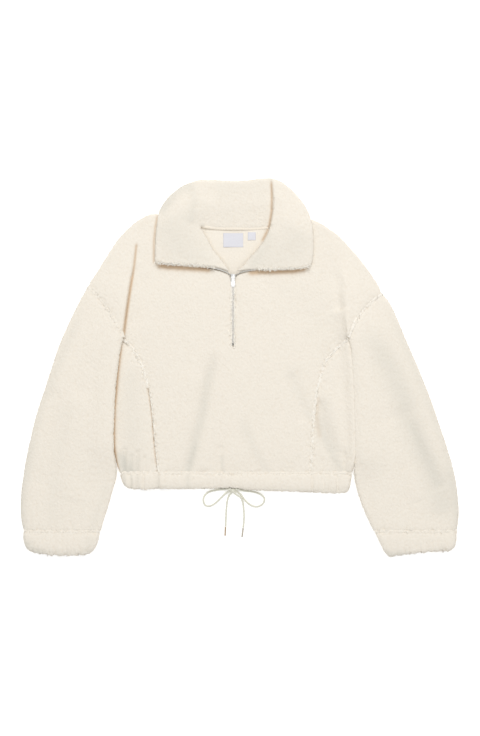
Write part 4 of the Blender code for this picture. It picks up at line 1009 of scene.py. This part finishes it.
def braid(piece, route, cord):
    """Work the strands of a round braid into a cord's surface."""
    points = positions(piece.data).astype(np.float64)
    line = np.array([tuple(point) for point in route])
    along = np.gradient(line, axis=0)
    along /= np.linalg.norm(along, axis=1)[:, None]
    run = np.concatenate(([0.0], np.cumsum(np.linalg.norm(np.diff(line, axis=0), axis=1))))
    nearest = np.array([int(np.argmin(((line - point) ** 2).sum(axis=1))) for point in points])
    off = points - line[nearest]
    beyond = np.einsum("ij,ij->i", off, along[nearest])
    off -= along[nearest] * beyond[:, None]
    side = np.stack([-along[nearest][:, 1], along[nearest][:, 0], np.zeros(len(points))], axis=1)
    side /= np.maximum(np.linalg.norm(side, axis=1), 1e-9)[:, None]
    over = np.cross(along[nearest], side)
    angle = np.arctan2(np.einsum("ij,ij->i", off, over), np.einsum("ij,ij->i", off, side))
    turn = 2 * math.pi * (run[nearest] + beyond) / (cord.thickness * BRAID_PITCH)
    relief = np.maximum(np.cos(cord.strands / 2 * angle + turn),
                        np.cos(cord.strands / 2 * angle - turn))
    points += off * (BRAID_RELIEF * (relief - BRAID_LEVEL))[:, None]
    points[:, 2] = np.maximum(points[:, 2], 0.0)
    # the strands' relief, for the painted shade in the grooves
    mark(piece.data, "strand", np.clip(0.5 + 0.5 * relief, 0.0, 1.0))
    set_positions(piece.data, points)


def cord_along(name, table, spacing, cord):
    """A length of braided cord through a table's points, and its route."""
    route = spaced([at(*point) for point in table], spacing)
    piece = tube_along(name, route, cord.thickness / 2, CORD_SIDES)
    braid(piece, route, cord)
    return piece, route


def tip(side, route, look):
    """A metal tip crimped on a cord's end, in line with it."""
    along = route[-1] - route[-2]
    along.z = 0.0
    along.normalize()
    piece = primitive(bpy.ops.mesh.primitive_cylinder_add, f"tip_{side}", vertices=24,
                      radius=TIP_RADIUS, depth=TIP_LENGTH)
    with edit_mode(piece, looks_up_or_down):
        bpy.ops.mesh.inset(thickness=0.0005, depth=0.0)
        bpy.ops.mesh.inset(thickness=0.0004, depth=-0.0006)
        for height in sorted(TIP_CRIMPS + TIP_RIMS):
            bpy.ops.mesh.select_all(action="SELECT")
            bpy.ops.mesh.bisect(plane_co=(0, 0, height), plane_no=(0, 0, 1))
    for vertex in piece.data.vertices:
        if min(abs(vertex.co.z - crimp) for crimp in TIP_CRIMPS) < 1e-5:
            vertex.co.x *= CRIMP_SHARE
            vertex.co.y *= CRIMP_SHARE
    modify(piece, "edges", "BEVEL", width=0.00025, segments=2, limit_method="ANGLE")
    apply_all(piece)
    middle = route[-1] + along * TIP_PLACE
    turn = along.to_track_quat("Z", "Y").to_matrix().to_4x4()
    piece.data.transform(Matrix.Translation((middle.x, middle.y, TIP_RADIUS)) @ turn)
    dress(piece, look, [f"drawcord_tip_{side}"])
    return piece


class PULLOVER_OT_drawcord(bpy.types.Operator):
    """Drawcord tied in a bow: two loops, two ends with their tips, and the knot"""
    bl_idname = "pullover.drawcord"
    bl_label = "Drawcord"

    def execute(self, context):
        cord = context.scene.pullover_cord
        look = braid_material("cord_cotton", tuple(cord.cord_colour))
        metals = {"left": metal_material("cord_tip_warm", tuple(cord.tip_colour), 0.32),
                  "right": metal_material("cord_tip_grey", tuple(cord.grey_tip_colour), 0.32)}
        for kind, side, table in (("loop", "left", LOOP_LEFT), ("loop", "right", LOOP_RIGHT),
                                  ("end", "left", END_LEFT), ("end", "right", END_RIGHT)):
            piece, route = cord_along(f"{kind}_{side}", table, CORD_STEP, cord)
            dress(piece, look, [f"drawcord_{kind}_{side}"])
            on_it = [tip(side, route, metals[side])] if kind == "end" else []
        turns = [cord_along(f"knot_turn_{number}", table, KNOT_STEP, cord)[0]
                 for number, table in enumerate(KNOT_TURNS)]
        bpy.ops.object.select_all(action="DESELECT")
        for piece in turns:
            piece.select_set(True)
        context.view_layer.objects.active = turns[0]
        bpy.ops.object.join()
        turns[0].name = "bow_knot"
        dress(turns[0], look, ["drawcord_knot"])
        return {"FINISHED"}


# ---------------------------------------------------------------- the fleece pieces
def reshape(piece, shape):
    """Move a cloth's points with a given shape: shape gets them and their plan in millimetres."""
    points = positions(piece.data)
    shape(points, plan(points))
    set_positions(piece.data, points)


def stay_above_floor(points, _):
    """Bring points under the floor back up to it."""
    points[:, 2] = np.maximum(points[:, 2], 0.0)


def finish_cloth(piece, node, fleece):
    """Painted shadow and shade, material and body of a cloth piece."""
    reshape(piece, stay_above_floor)
    mark_painted_shade(piece)
    dress(piece, cream(fleece), [node])


def panel(node, name, fleece, shape=None, grain=None, brushed=False):
    """A cloth piece that is one closed wall."""
    piece = cloth_copy(node, name)
    even_mesh(piece, grain or fleece.grain)
    if shape:
        reshape(piece, shape)
    lay_folds(piece)
    upward = normals(piece.data)[:, 2]
    show = ease((upward + 0.55) / 0.6)
    if brushed:
        show *= 1.0 - ease((upward - 0.5) / 0.3)
    raise_pile(piece, fleece, show)
    thin_hidden(piece, ease((-0.6 - upward) / 0.3), 0.55)
    finish_cloth(piece, node, fleece)


def tube(node, name, fleece, gathers=(), wall=None, shape=None):
    """A cloth piece that lies as a flattened tube, or is wrapped round the side."""
    piece = cloth_copy(node, name)
    even_mesh(piece, fleece.grain)
    keep_outside(piece, node)
    lay_folds(piece)
    for line, depth, spread, seed in gathers:
        gather(piece, line, depth, spread, seed)
    raise_pile(piece, fleece, ease((normals(piece.data)[:, 2] + 0.75) / 0.5))
    thin_hidden(piece, ease((-0.75 - normals(piece.data)[:, 2]) / 0.2), 0.6)
    if shape:
        reshape(piece, shape)
    give_wall(piece, wall or fleece.thin_wall)
    finish_cloth(piece, node, fleece)


def tuck_lip(points, flat):
    """Draw the loose lip over the cord's left loop back to the hem's edge."""
    beside = (flat[:, 0] > -48.0) & (flat[:, 0] < -33.0) & (points[:, 2] > 0.008)
    points[:, 1] += 0.9 * MM * np.maximum(-261.4 - flat[:, 1], 0.0) * beside


def raise_neck_edge(points, flat):
    """Carry the back's neck edge up under the collar stand."""
    near = (ease((flat[:, 1] - 286.0) / 8.0) * ease((flat[:, 0] + 94.0) / 12.0)
            * ease((80.0 - flat[:, 0]) / 12.0))
    points[:, 1] += 8.0 * MM * near


def raise_flap_corners(points, flat):
    """Draw the flaps' lower edges up beside the zip, where the slider pulls the collar."""
    lower = ease((252.0 - flat[:, 1]) / 34.0)
    for middle, spread in ((-50.0, 27.0), (28.0, 32.0)):
        points[:, 1] += 5.5 * MM * bell(flat[:, 0] - middle, spread) * lower


class PULLOVER_OT_body(bpy.types.Operator):
    """Front, back and side panels"""
    bl_idname = "pullover.body"
    bl_label = "Body"

    def execute(self, context):
        fleece = context.scene.pullover_fleece
        panel("back_panel", "back", fleece, shape=raise_neck_edge,
              grain=0.0028, brushed=True)
        panel("front_panel", "front", fleece)
        for side in ("left", "right"):
            tube(f"side_panel_{side}", f"side_{side}", fleece)
        return {"FINISHED"}


class PULLOVER_OT_sleeves(bpy.types.Operator):
    """Sleeves and their cuffs"""
    bl_idname = "pullover.sleeves"
    bl_label = "Sleeves and cuffs"

    def execute(self, context):
        fleece = context.scene.pullover_fleece
        for number, (side, end, seam) in enumerate((("left", CUFF_LEFT_END, CUFF_LEFT_SEAM),
                                                    ("right", CUFF_RIGHT_END, CUFF_RIGHT_SEAM))):
            tube(f"sleeve_{side}", f"sleeve_{side}_cloth", fleece,
                 gathers=[(seam, 0.8, 22.0, 11 + number)])
            tube(f"cuff_{side}", f"cuff_{side}_cloth", fleece,
                 gathers=[(end, 1.5, 20.0, 21 + number)], wall=fleece.wall)
        return {"FINISHED"}


class PULLOVER_OT_hem(bpy.types.Operator):
    """Hem casing"""
    bl_idname = "pullover.hem"
    bl_label = "Hem"

    def execute(self, context):
        tube("hem_casing", "hem", context.scene.pullover_fleece,
             gathers=[([(-240, -262), (-176, -264)], 1.4, 26.0, 31),
                      ([(-176, -264), (140, -266)], 0.6, 18.0, 33),
                      ([(150, -266), (232, -268)], 1.1, 24.0, 32)], shape=tuck_lip)
        return {"FINISHED"}


class PULLOVER_OT_collar(bpy.types.Operator):
    """Turned-down collar"""
    bl_idname = "pullover.collar"
    bl_label = "Collar"

    def execute(self, context):
        panel("collar", "collar_cloth", context.scene.pullover_fleece,
              shape=raise_flap_corners)
        return {"FINISHED"}


# ---------------------------------------------------------------- seams and loose pile
# The pieces that seams lie on
CLOTH = ("back", "front", "side_left", "side_right", "sleeve_left_cloth", "sleeve_right_cloth",
         "cuff_left_cloth", "cuff_right_cloth", "hem", "collar_cloth")
# Seams: line, half width of the roll, its height as a share, rise above the cloth, curls per cm
SEAM_ROLLS = {
    "armhole_left": (ARMHOLE_LEFT, 4.6, 0.34, 0.3, 4),
    "armhole_right": (ARMHOLE_RIGHT, 4.6, 0.38, 0.4, 5),
    "side_seam_left": (SIDE_LEFT[:7], 4.0, 0.40, 0.4, 6),
    "side_seam_left_low": ([(x + 2.6, y) for x, y in SIDE_LEFT[6:]], 2.4, 0.42, 0.2, 6),
    "side_seam_right": (SIDE_RIGHT, 4.0, 0.40, 0.4, 5),
    "hem_seam": (HEM_SEAM, 4.8, 0.32, 0.4, 2),
    "cuff_seam_left": (CUFF_LEFT_SEAM, 4.6, 0.30, 0.2, 2),
    "cuff_seam_right": (CUFF_RIGHT_SEAM, 4.6, 0.30, 0.2, 2),
    "slit_edge_left": (SLIT_EDGE_LEFT, 2.5, 0.62, 0.2, 7),
    "slit_edge_right": (SLIT_EDGE_RIGHT, 2.6, 0.62, 0.4, 10),
}
# Seam rolls that take the painted highlight colour
HIGHLIT_ROLLS = ("armhole_right", "side_seam_left", "side_seam_left_low", "side_seam_right",
                "slit_edge_left", "slit_edge_right")
SEAM_STEP = 0.0015                      # spacing of the points of a seam
ROLL_SIDES, ROLL_CURL = 14, 0.0013
LOOSE_PER_CM, LOOSE_SPREAD = 27, 1.6    # loose curls along the flaps' lower edges
LOOSE_STEP = 0.002                      # spacing of the points of these edges
LOOSE_HEIGHTS = (0.0195, 0.0222)        # they lie no lower than between these
LOOSE_SIZE = 1.35                       # against the size of a seam's curls


def curl_model():
    """One curl of the pile: a strand spun most of the way round, ends closed."""
    model = primitive(bpy.ops.mesh.primitive_circle_add, "curl_model", location=(0.72, 0.0, 0.0),
                      rotation=(math.pi / 2, 0.0, 0.0), vertices=4, radius=0.36,
                      fill_type="NGON")
    with edit_mode(model):
        bpy.ops.mesh.spin(steps=7, angle=5.0, center=(0.0, 0.0, 0.0), axis=(0.0, 0.0, 1.0))
        bpy.ops.mesh.select_all(action="SELECT")
        bpy.ops.mesh.remove_doubles(threshold=MERGE)
        bpy.ops.mesh.normals_make_consistent(inside=False)
    for vertex in model.data.vertices:
        turn = math.atan2(vertex.co.y, vertex.co.x) % (2 * math.pi)
        vertex.co.z += 0.16 * turn
    return model


def curl_at(chance, point, spread):
    """Place, turn and size of one loose curl."""
    spot = point + Vector((chance.gauss(0, spread), chance.gauss(0, spread),
                           chance.uniform(-0.3, 0.5))) * MM
    turn = (chance.uniform(-0.9, 0.9), chance.uniform(-0.9, 0.9), chance.uniform(0, 6.28))
    return spot, turn, chance.uniform(0.75, 1.25) * MM


class PULLOVER_OT_seams(bpy.types.Operator):
    """Seams with the pile that they push up, some in a painted highlight colour, and loose curls
    along the edges in a painted highlight colour
    """
    bl_idname = "pullover.seams"
    bl_label = "Seams"

    def execute(self, context):
        fleece = context.scene.pullover_fleece
        # painted highlight on the raised seam rolls
        seam_highlight = fleece_material("bright_fleece", fleece, tuple(fleece.seam_highlight_colour), 0.5)
        # painted highlight on the loose curls
        light = fleece_material("curl_fleece", fleece, tuple(fleece.curl_highlight_colour), 0.25)
        cloth = [bpy.data.objects[name] for name in CLOTH]
        context.view_layer.update()
        chance = random.Random(5)
        places = []
        for name, (line, radius, share, rise, curls) in SEAM_ROLLS.items():
            route = seat(cloth, spaced([at(x, y) for x, y in line], SEAM_STEP),
                         rise - share * radius, radius + 1.0)
            piece = tube_along(name, route, radius * MM, ROLL_SIDES)
            flatten(piece, route, share)
            raise_pile(piece, fleece, curl=ROLL_CURL)
            mark_painted_shade(piece)
            dress(piece, seam_highlight if name in HIGHLIT_ROLLS else cream(fleece))
            for _ in range(round(curls * len(route) * (SEAM_STEP / CM))):
                spot = chance.choice(route) + Vector((0, 0, 0.9 * share * radius * MM))
                places.append(curl_at(chance, spot, 0.55 * radius))
        edge = [bpy.data.objects["collar_cloth"]]
        for line in (FLAP_LEFT, FLAP_RIGHT):
            route = spaced([at(x, y + 0.8) for x, y in line], LOOSE_STEP)
            for _ in range(round(LOOSE_PER_CM * len(route) * (LOOSE_STEP / CM))):
                point = chance.choice(route).copy()
                point += Vector((chance.gauss(0, LOOSE_SPREAD), chance.gauss(0, LOOSE_SPREAD),
                                 0.0)) * MM
                point.z = max(height_on(edge, point), chance.uniform(*LOOSE_HEIGHTS))
                spot, turn, size = curl_at(chance, point, 0.2)
                places.append((spot, turn, LOOSE_SIZE * size))
        piece = strew("loose_curls", curl_model(), places)
        # painted highlight: the loose curls take the tips' end of the colour mix
        mark(piece.data, "curl", np.full(len(piece.data.vertices), 0.9))
        mark_painted_shade(piece)
        dress(piece, light)
        return {"FINISHED"}



# ---------------------------------------------------------------- zip
# The toothed edges of the two tapes, from the flaps' outer ends into the slider
TOOTHED_LEFT = [(-176, 228, 16.2), (-149, 224, 16.2), (-117, 222, 16.2), (-88, 220, 16.2),
                (-70, 216, 16.2), (-55, 212.4, 16.0), (-41, 208.6, 15.2), (-29, 203.9, 13.9),
                (-21.4, 199.6, 12.4), (-16.4, 196.4, 11.0), (ZIP_X - 0.55, 189, 10.8),
                (ZIP_X - 0.55, 184, 10.8)]
TOOTHED_RIGHT = [(147, 218, 16.2), (130, 214, 16.2), (108, 213, 16.2), (87, 213, 16.2),
                 (68, 210.6, 16.2), (38, 208.8, 16.2), (22, 207.4, 15.7), (8, 204.6, 14.7),
                 (-2, 200.8, 13.2), (-10.6, 196.4, 11.0), (ZIP_X + 0.55, 189, 10.8),
                 (ZIP_X + 0.55, 184, 10.8)]
CLOSED_ROWS = (170, 140, 110, 80, 52)   # places of the closed part's points
CLOSED_HALF, CLOSED_HEIGHT = 0.55, 10.8     # its tapes' distance from the middle and height
ZIP_STEP = 0.0011                       # spacing of the points along a tape
TEETH_FROM, TEETH_TO = -64, 34          # beyond these the teeth are hidden by the flaps
TOOTH_BOX = (2.2, 1.0, 1.8)             # a tooth before it is brought to its width
TAPE_WALL = 0.0007
TURN_FROM, TURN_RUN = 206, 0.013        # where a tape starts to turn over, and how soon it has
MEETING = 196                           # where the two rows of teeth meet in the slider
NARROWEST = 0.42                        # share of a tape's width that shows there
WIDE_FROM, WIDE_RUN = 0.012, 0.045      # how far from there it widens, and how soon it has
TAPE_EDGE, TAPE_DROP = 0.0005, 0.0004   # how far it runs under the teeth, and down to its seam
SHIELD_BELOW, SHIELD_SHARE = 194, 0.74  # the slider's plates are narrower below this


def box(name, low, high):
    """A box between two design corners, from a primitive."""
    low, high = at(*low), at(*high)
    return primitive(bpy.ops.mesh.primitive_cube_add, name, (low + high) / 2, high - low,
                     size=1.0)


def zip_box(name, half, low, high):
    """A box across the zip's middle: its half width, and (y, z) of two corners."""
    return box(name, (ZIP_X - half, *low), (ZIP_X + half, *high))


def round_edges(piece, width):
    """Rounded edges, applied."""
    modify(piece, "edges", "BEVEL", width=width * MM, segments=2, limit_method="ANGLE",
           angle_limit=math.radians(35))
    apply_all(piece)


def combine(piece, others, operation):
    """Join or cut a piece with others, which go."""
    for other in others:
        modify(piece, "combine", "BOOLEAN", operation=operation, object=other, solver="EXACT")
        apply_all(piece)
        bpy.data.objects.remove(other)


class PULLOVER_OT_zip(bpy.types.Operator):
    """Tapes, teeth, slider, pull tab and bottom stop"""
    bl_idname = "pullover.zip"
    bl_label = "Zip"

    def execute(self, context):
        zipper = context.scene.pullover_zip
        weave = tuple(zipper.tape_colour)
        woven = woven_material("zip_tape_weave", weave, darker(weave, 0.82), 900.0, 0.5)
        places = []
        for side, table, facing in (("left", TOOTHED_LEFT, -1), ("right", TOOTHED_RIGHT, 1)):
            down = [(ZIP_X + facing * CLOSED_HALF, y, CLOSED_HEIGHT) for y in CLOSED_ROWS]
            route = spaced([at(*point) for point in table + down], ZIP_STEP)
            self.tape(side, facing, route, round(zipper.tape, 4), woven)
            places += self.teeth_places(route, zipper.pitch / ZIP_STEP,
                                        0.9 if facing > 0 else 0.4)
        teeth = strew("zip_teeth", self.tooth(zipper.tooth), places)
        dress(teeth, metal_material("zip_teeth_finish", tuple(zipper.teeth_colour), 0.35),
              smooth=False)
        self.slider(metal_material("slider_finish", tuple(zipper.slider_colour), 0.30))
        self.pull_tab(metal_material("pull_tab_finish", tuple(zipper.metal_colour), 0.25))
        stop = zip_box("bottom_stop", 2.3, (SLIT_END + 0.7, 10.0), (SLIT_END + 5.3, 14.8))
        round_edges(stop, 0.5)
        dress(stop, metal_material("bottom_stop_finish", tuple(zipper.stop_colour), 0.45),
              ["zip_bottom_stop"])
        return {"FINISHED"}

    @staticmethod
    def teeth_places(route, step, first):
        """Place and turn of each tooth along a tape; the two rows lie half a pitch apart."""
        places = []
        for number in range(int((len(route) - 1) / step) - 1):
            spot = len(route) - 1 - (number + first) * step
            low = int(spot)
            point = route[low].lerp(route[low + 1], spot - low)
            if at(TEETH_FROM, 0).x < point.x < at(TEETH_TO, 0).x:
                along = route[low + 1] - route[low]
                turn = math.atan2(along.y, along.x) + math.pi / 2
                tilt = math.atan2(along.z, along.xy.length)
                places.append((point + Vector((0, 0, 0.0005)), (-tilt, 0.0, turn), 1.0))
        return places

    @staticmethod
    def tooth(width):
        """One tooth, with a raised middle above and below."""
        half = [size / 2 for size in TOOTH_BOX]
        model = zip_box("tooth", half[0], (-half[1], -half[2]), (half[1], half[2]))
        model.data.transform(Matrix.Translation(-at(ZIP_X, 0.0, 0.0)))
        model.data.transform(Matrix.Diagonal((width / (TOOTH_BOX[0] * MM), 1.0, 1.0, 1.0)))
        with edit_mode(model, looks_up_or_down):
            bpy.ops.mesh.inset(thickness=0.00025, depth=0.0002)
        return model

    @staticmethod
    def tape(side, facing, route, width, look):
        """One woven tape, from its toothed edge to the edge that is sewn under the pile."""
        knots = route[::3] + [route[-1]]
        piece = primitive(bpy.ops.mesh.primitive_grid_add, f"tape_{side}", size=1.0,
                          x_subdivisions=len(knots) - 1, y_subdivisions=4)
        for vertex in piece.data.vertices:
            number = round((vertex.co.x + 0.5) * (len(knots) - 1))
            share = vertex.co.y + 0.5
            along = knots[min(number + 1, len(knots) - 1)] - knots[max(number - 1, 0)]
            across = Vector((-along.y, along.x, 0.0)).normalized() * -facing
            turn = math.pi * float(ease((at(0, TURN_FROM).y - knots[number].y) / TURN_RUN))
            across = across * math.cos(turn) + Vector((0.0, 0.0, -math.sin(turn)))
            off = abs((knots[number] - at(ZIP_X, MEETING)).xy.length - WIDE_FROM) / WIDE_RUN
            shown = width * (NARROWEST + (1.0 - NARROWEST) * float(ease(off)))
            vertex.co = knots[number] + across * (shown * share - TAPE_EDGE)
            vertex.co.z -= TAPE_DROP * share
        with edit_mode(piece):
            bpy.ops.mesh.normals_make_consistent(inside=False)
        give_wall(piece, TAPE_WALL)
        dress(piece, look, [f"zip_tape_{side}"])

    @staticmethod
    def slider(look):
        """The slider: two shield-shaped plates, the wedge between them and the bridge."""
        upper = zip_box("slider", 4.5, (188, 11.9), (200, 13.1))
        lower = zip_box("slider_under", 4.2, (188.4, 8.5), (199.6, 9.8))
        for plate in (upper, lower):
            for vertex in plate.data.vertices:
                if vertex.co.y < at(0, SHIELD_BELOW).y:
                    middle = at(ZIP_X, 0).x
                    vertex.co.x = middle + (vertex.co.x - middle) * SHIELD_SHARE
        combine(upper, [lower, zip_box("wedge", 1.2, (195.6, 9.4), (199.2, 12.3)),
                        zip_box("bridge", 1.1, (190.6, 15.3), (197.4, 16.4)),
                        zip_box("leg_low", 1.0, (190.7, 12.8), (191.9, 15.6)),
                        zip_box("leg_high", 1.0, (196.1, 12.8), (197.3, 15.6))], "UNION")
        round_edges(upper, 0.3)
        dress(upper, look, ["zip_slider"])

    @staticmethod
    def pull_tab(look):
        """The pull tab: a plate with a narrower eye round the bridge."""
        plate = zip_box("tab_plate", 4.0, (172.5, 13.55), (187.0, 14.85))
        combine(plate, [zip_box("tab_neck", 2.9, (186.4, 13.6), (194.6, 14.8))], "UNION")
        combine(plate, [zip_box("tab_eye", 1.75, (188.8, 12.0), (193.3, 17.0))], "DIFFERENCE")
        round_edges(plate, 0.32)
        dress(plate, look, ["pull_tab"], body="pull_tab")


# ---------------------------------------------------------------- neck binding and labels
BINDING_RADIUS = 0.0040
DIPPED = 8              # points at each end of the binding that run in under the flaps
DIP = 0.0002            # how much lower each of them lies than the one before
LABEL_GRID = 1.5        # spacing of a label's mesh, mm
LABEL_WALL = 0.0005
STITCH_INSET = 1.1      # from a label's edge to its stitches, mm
# Labels: piece, the solid it stands for, lower left and upper right corner
LABELS = (("label_large", "neck_label", (-35, 258), (8, 288.4)),
          ("label_small", "size_label", (18, 273), (35, 290.4)))


class PULLOVER_OT_labels(bpy.types.Operator):
    """Neck binding and the two blank labels"""
    bl_idname = "pullover.labels"
    bl_label = "Binding and labels"

    def execute(self, context):
        label = context.scene.pullover_label
        context.view_layer.update()
        ground = [bpy.data.objects["back"], bpy.data.objects["collar_cloth"]]
        self.binding(context.scene.pullover_fleece, ground)
        satin = tuple(label.label_colour)
        look = woven_material("label_satin", satin, darker(satin, 0.90), 1300.0, 0.25)
        places = []
        for name, node, low, high in LABELS:
            places += self.patch(name, node, low, high, look, label.stitch / MM, ground)
        model = primitive(bpy.ops.mesh.primitive_cylinder_add, "stitch", vertices=6,
                          radius=0.00016, depth=0.0015, rotation=(0, math.pi / 2, 0))
        with edit_mode(model):
            bpy.ops.mesh.bevel(offset=0.00005, segments=1)
        stitches = strew("label_stitches", model, places)
        dress(stitches, woven_material("label_thread", tuple(label.thread_colour),
                                       tuple(label.thread_shade), 2500.0, 0.3))
        return {"FINISHED"}

    @staticmethod
    def binding(fleece, ground):
        """The soft roll along the neck seam; its ends dip in under the flaps."""
        soft = seat(ground, spaced([at(x, y + 3.0) for x, y in NECK_SEAM], SEAM_STEP), -0.9, 3.6)
        for number in range(DIPPED):
            lower = DIP * (DIPPED - number)
            soft[number].z = soft[DIPPED].z - lower
            soft[-1 - number].z = soft[-1 - DIPPED].z - lower
        piece = tube_along("neck_binding", soft, BINDING_RADIUS, ROLL_SIDES)
        flatten(piece, soft, 0.5)
        raise_pile(piece, fleece, curl=0.0004)
        mark_painted_shade(piece)
        dress(piece, fleece_material("binding_knit", fleece, tuple(fleece.binding_colour), 0.3))

    @staticmethod
    def patch(name, node, low, high, look, step, ground):
        """One woven label that lies on the back; gives the places of its stitches."""
        wide, long = high[0] - low[0], high[1] - low[1]
        piece = primitive(bpy.ops.mesh.primitive_grid_add, name, size=1.0,
                          x_subdivisions=round(wide / LABEL_GRID),
                          y_subdivisions=round(long / LABEL_GRID))
        middle = height_on(ground, at((low[0] + high[0]) / 2, (low[1] + high[1]) / 2))

        def lying(x, y):
            """A point of the label, on the back and gently curved."""
            curve = 0.35 * math.sin((x - low[0]) / wide * 5.2 + 0.6) * (high[1] - y) / long
            spot = at(x, y)
            spot.z = max(height_on(ground, spot), middle - 0.0004) + (0.55 + curve) * MM
            return spot

        def stitch(x, y, turn):
            """Place, turn and size of one stitch."""
            return lying(x, y) + Vector((0, 0, 0.00005)), (0, 0, turn), 1.0

        for vertex in piece.data.vertices:
            vertex.co = lying(low[0] + (vertex.co.x + 0.5) * wide,
                              low[1] + (vertex.co.y + 0.5) * long)
        give_wall(piece, LABEL_WALL)
        dress(piece, look, [node])
        left, right, foot = low[0] + STITCH_INSET, high[0] - STITCH_INSET, low[1] + STITCH_INSET
        return ([stitch(x, foot, 0) for x in np.arange(left + 0.6, right, step)]
                + [stitch(x, y, math.pi / 2)
                   for y in np.arange(foot + 0.6, high[1] - STITCH_INSET, step)
                   for x in (left, right)])


# ---------------------------------------------------------------- stage
SENSOR_WIDTH = 36.0     # of the camera, mm


class PULLOVER_OT_stage(bpy.types.Operator):
    """Floor, light and camera"""
    bl_idname = "pullover.stage"
    bl_label = "Stage"

    def execute(self, context):
        stage = context.scene.pullover_stage
        floor = primitive(bpy.ops.mesh.primitive_plane_add, "floor", (0.0, 0.0, -0.0002),
                          size=12.0)
        made, tree, shader = material("pale_floor")
        feed(tree, shader, {"Base Color": (*stage.floor_colour, 1.0), "Roughness": 0.9,
                            "Emission Color": (1.0, 1.0, 1.0, 1.0),
                            "Emission Strength": stage.floor_glow})
        floor.data.materials.append(made)
        context.scene.world = self.sky(stage.ambient)
        for name, power, size, place in (("key_light", stage.key_power, 1.3, (0.35, 3.2, 3.0)),
                                         ("top_light", stage.top_power, 1.6, (0.1, 0.3, 3.6))):
            bpy.ops.object.light_add(type="AREA", location=place)
            light = context.active_object
            light.name = name
            light.data.energy = power
            light.data.size = size
            light.rotation_euler = (-Vector(place)).to_track_quat("-Z", "Y").to_euler()
        away = stage.frame_height * stage.lens / SENSOR_WIDTH
        bpy.ops.object.camera_add(location=(0.0006, -0.00055, 0.013 + away),
                                  rotation=(0.0, 0.0, 0.0))
        camera = context.active_object
        camera.name = "camera"
        camera.data.lens = stage.lens
        camera.data.clip_end = 100.0
        context.scene.camera = camera
        context.scene.view_settings.view_transform = "Standard"
        return {"FINISHED"}

    @staticmethod
    def sky(ambient):
        """A white world, brighter towards the top."""
        sky = bpy.data.worlds.new("studio")
        sky.use_nodes = True
        tree = sky.node_tree
        place = add_node(tree, "ShaderNodeTexCoord").outputs["Generated"]
        split = add_node(tree, "ShaderNodeSeparateXYZ", {"Vector": place})
        rise = add_node(tree, "ShaderNodeMapRange", {
            "From Max": 0.8, "To Min": 0.40 * ambient, "To Max": ambient,
            "Value": split.outputs["Z"]})
        feed(tree, tree.nodes["Background"], {"Color": (1.0, 1.0, 1.0, 1.0),
                                              "Strength": rise.outputs[0]})
        return sky


class PULLOVER_PT_panel(bpy.types.Panel):
    """Lists the garment's pieces"""
    bl_idname = "PULLOVER_PT_panel"
    bl_label = "Sherpa Fleece Pullover"
    bl_space_type = "VIEW_3D"
    bl_region_type = "UI"
    bl_category = "Pullover"

    def draw(self, context):
        for step in OPERATORS:
            self.layout.operator(step.bl_idname)


GROUPS = {"pullover_fleece": FleeceSettings, "pullover_zip": ZipSettings,
          "pullover_cord": CordSettings, "pullover_label": LabelSettings,
          "pullover_stage": StageSettings}
OPERATORS = (PULLOVER_OT_stage, PULLOVER_OT_drawcord, PULLOVER_OT_body, PULLOVER_OT_sleeves,
             PULLOVER_OT_hem, PULLOVER_OT_collar, PULLOVER_OT_seams, PULLOVER_OT_zip,
             PULLOVER_OT_labels)


def register():
    """Register the settings, operators and panel."""
    for name, group in GROUPS.items():
        bpy.utils.register_class(group)
        setattr(bpy.types.Scene, name, PointerProperty(type=group))
    for step in (*OPERATORS, PULLOVER_PT_panel):
        bpy.utils.register_class(step)


def unregister():
    """Take them off again."""
    for step in (PULLOVER_PT_panel, *reversed(OPERATORS)):
        bpy.utils.unregister_class(step)
    for name, group in GROUPS.items():
        delattr(bpy.types.Scene, name)
        bpy.utils.unregister_class(group)


def main():
    """Build everything."""
    register()
    for step in OPERATORS:
        space, action = step.bl_idname.split(".")
        getattr(getattr(bpy.ops, space), action)()


if __name__ == "__main__":
    main()
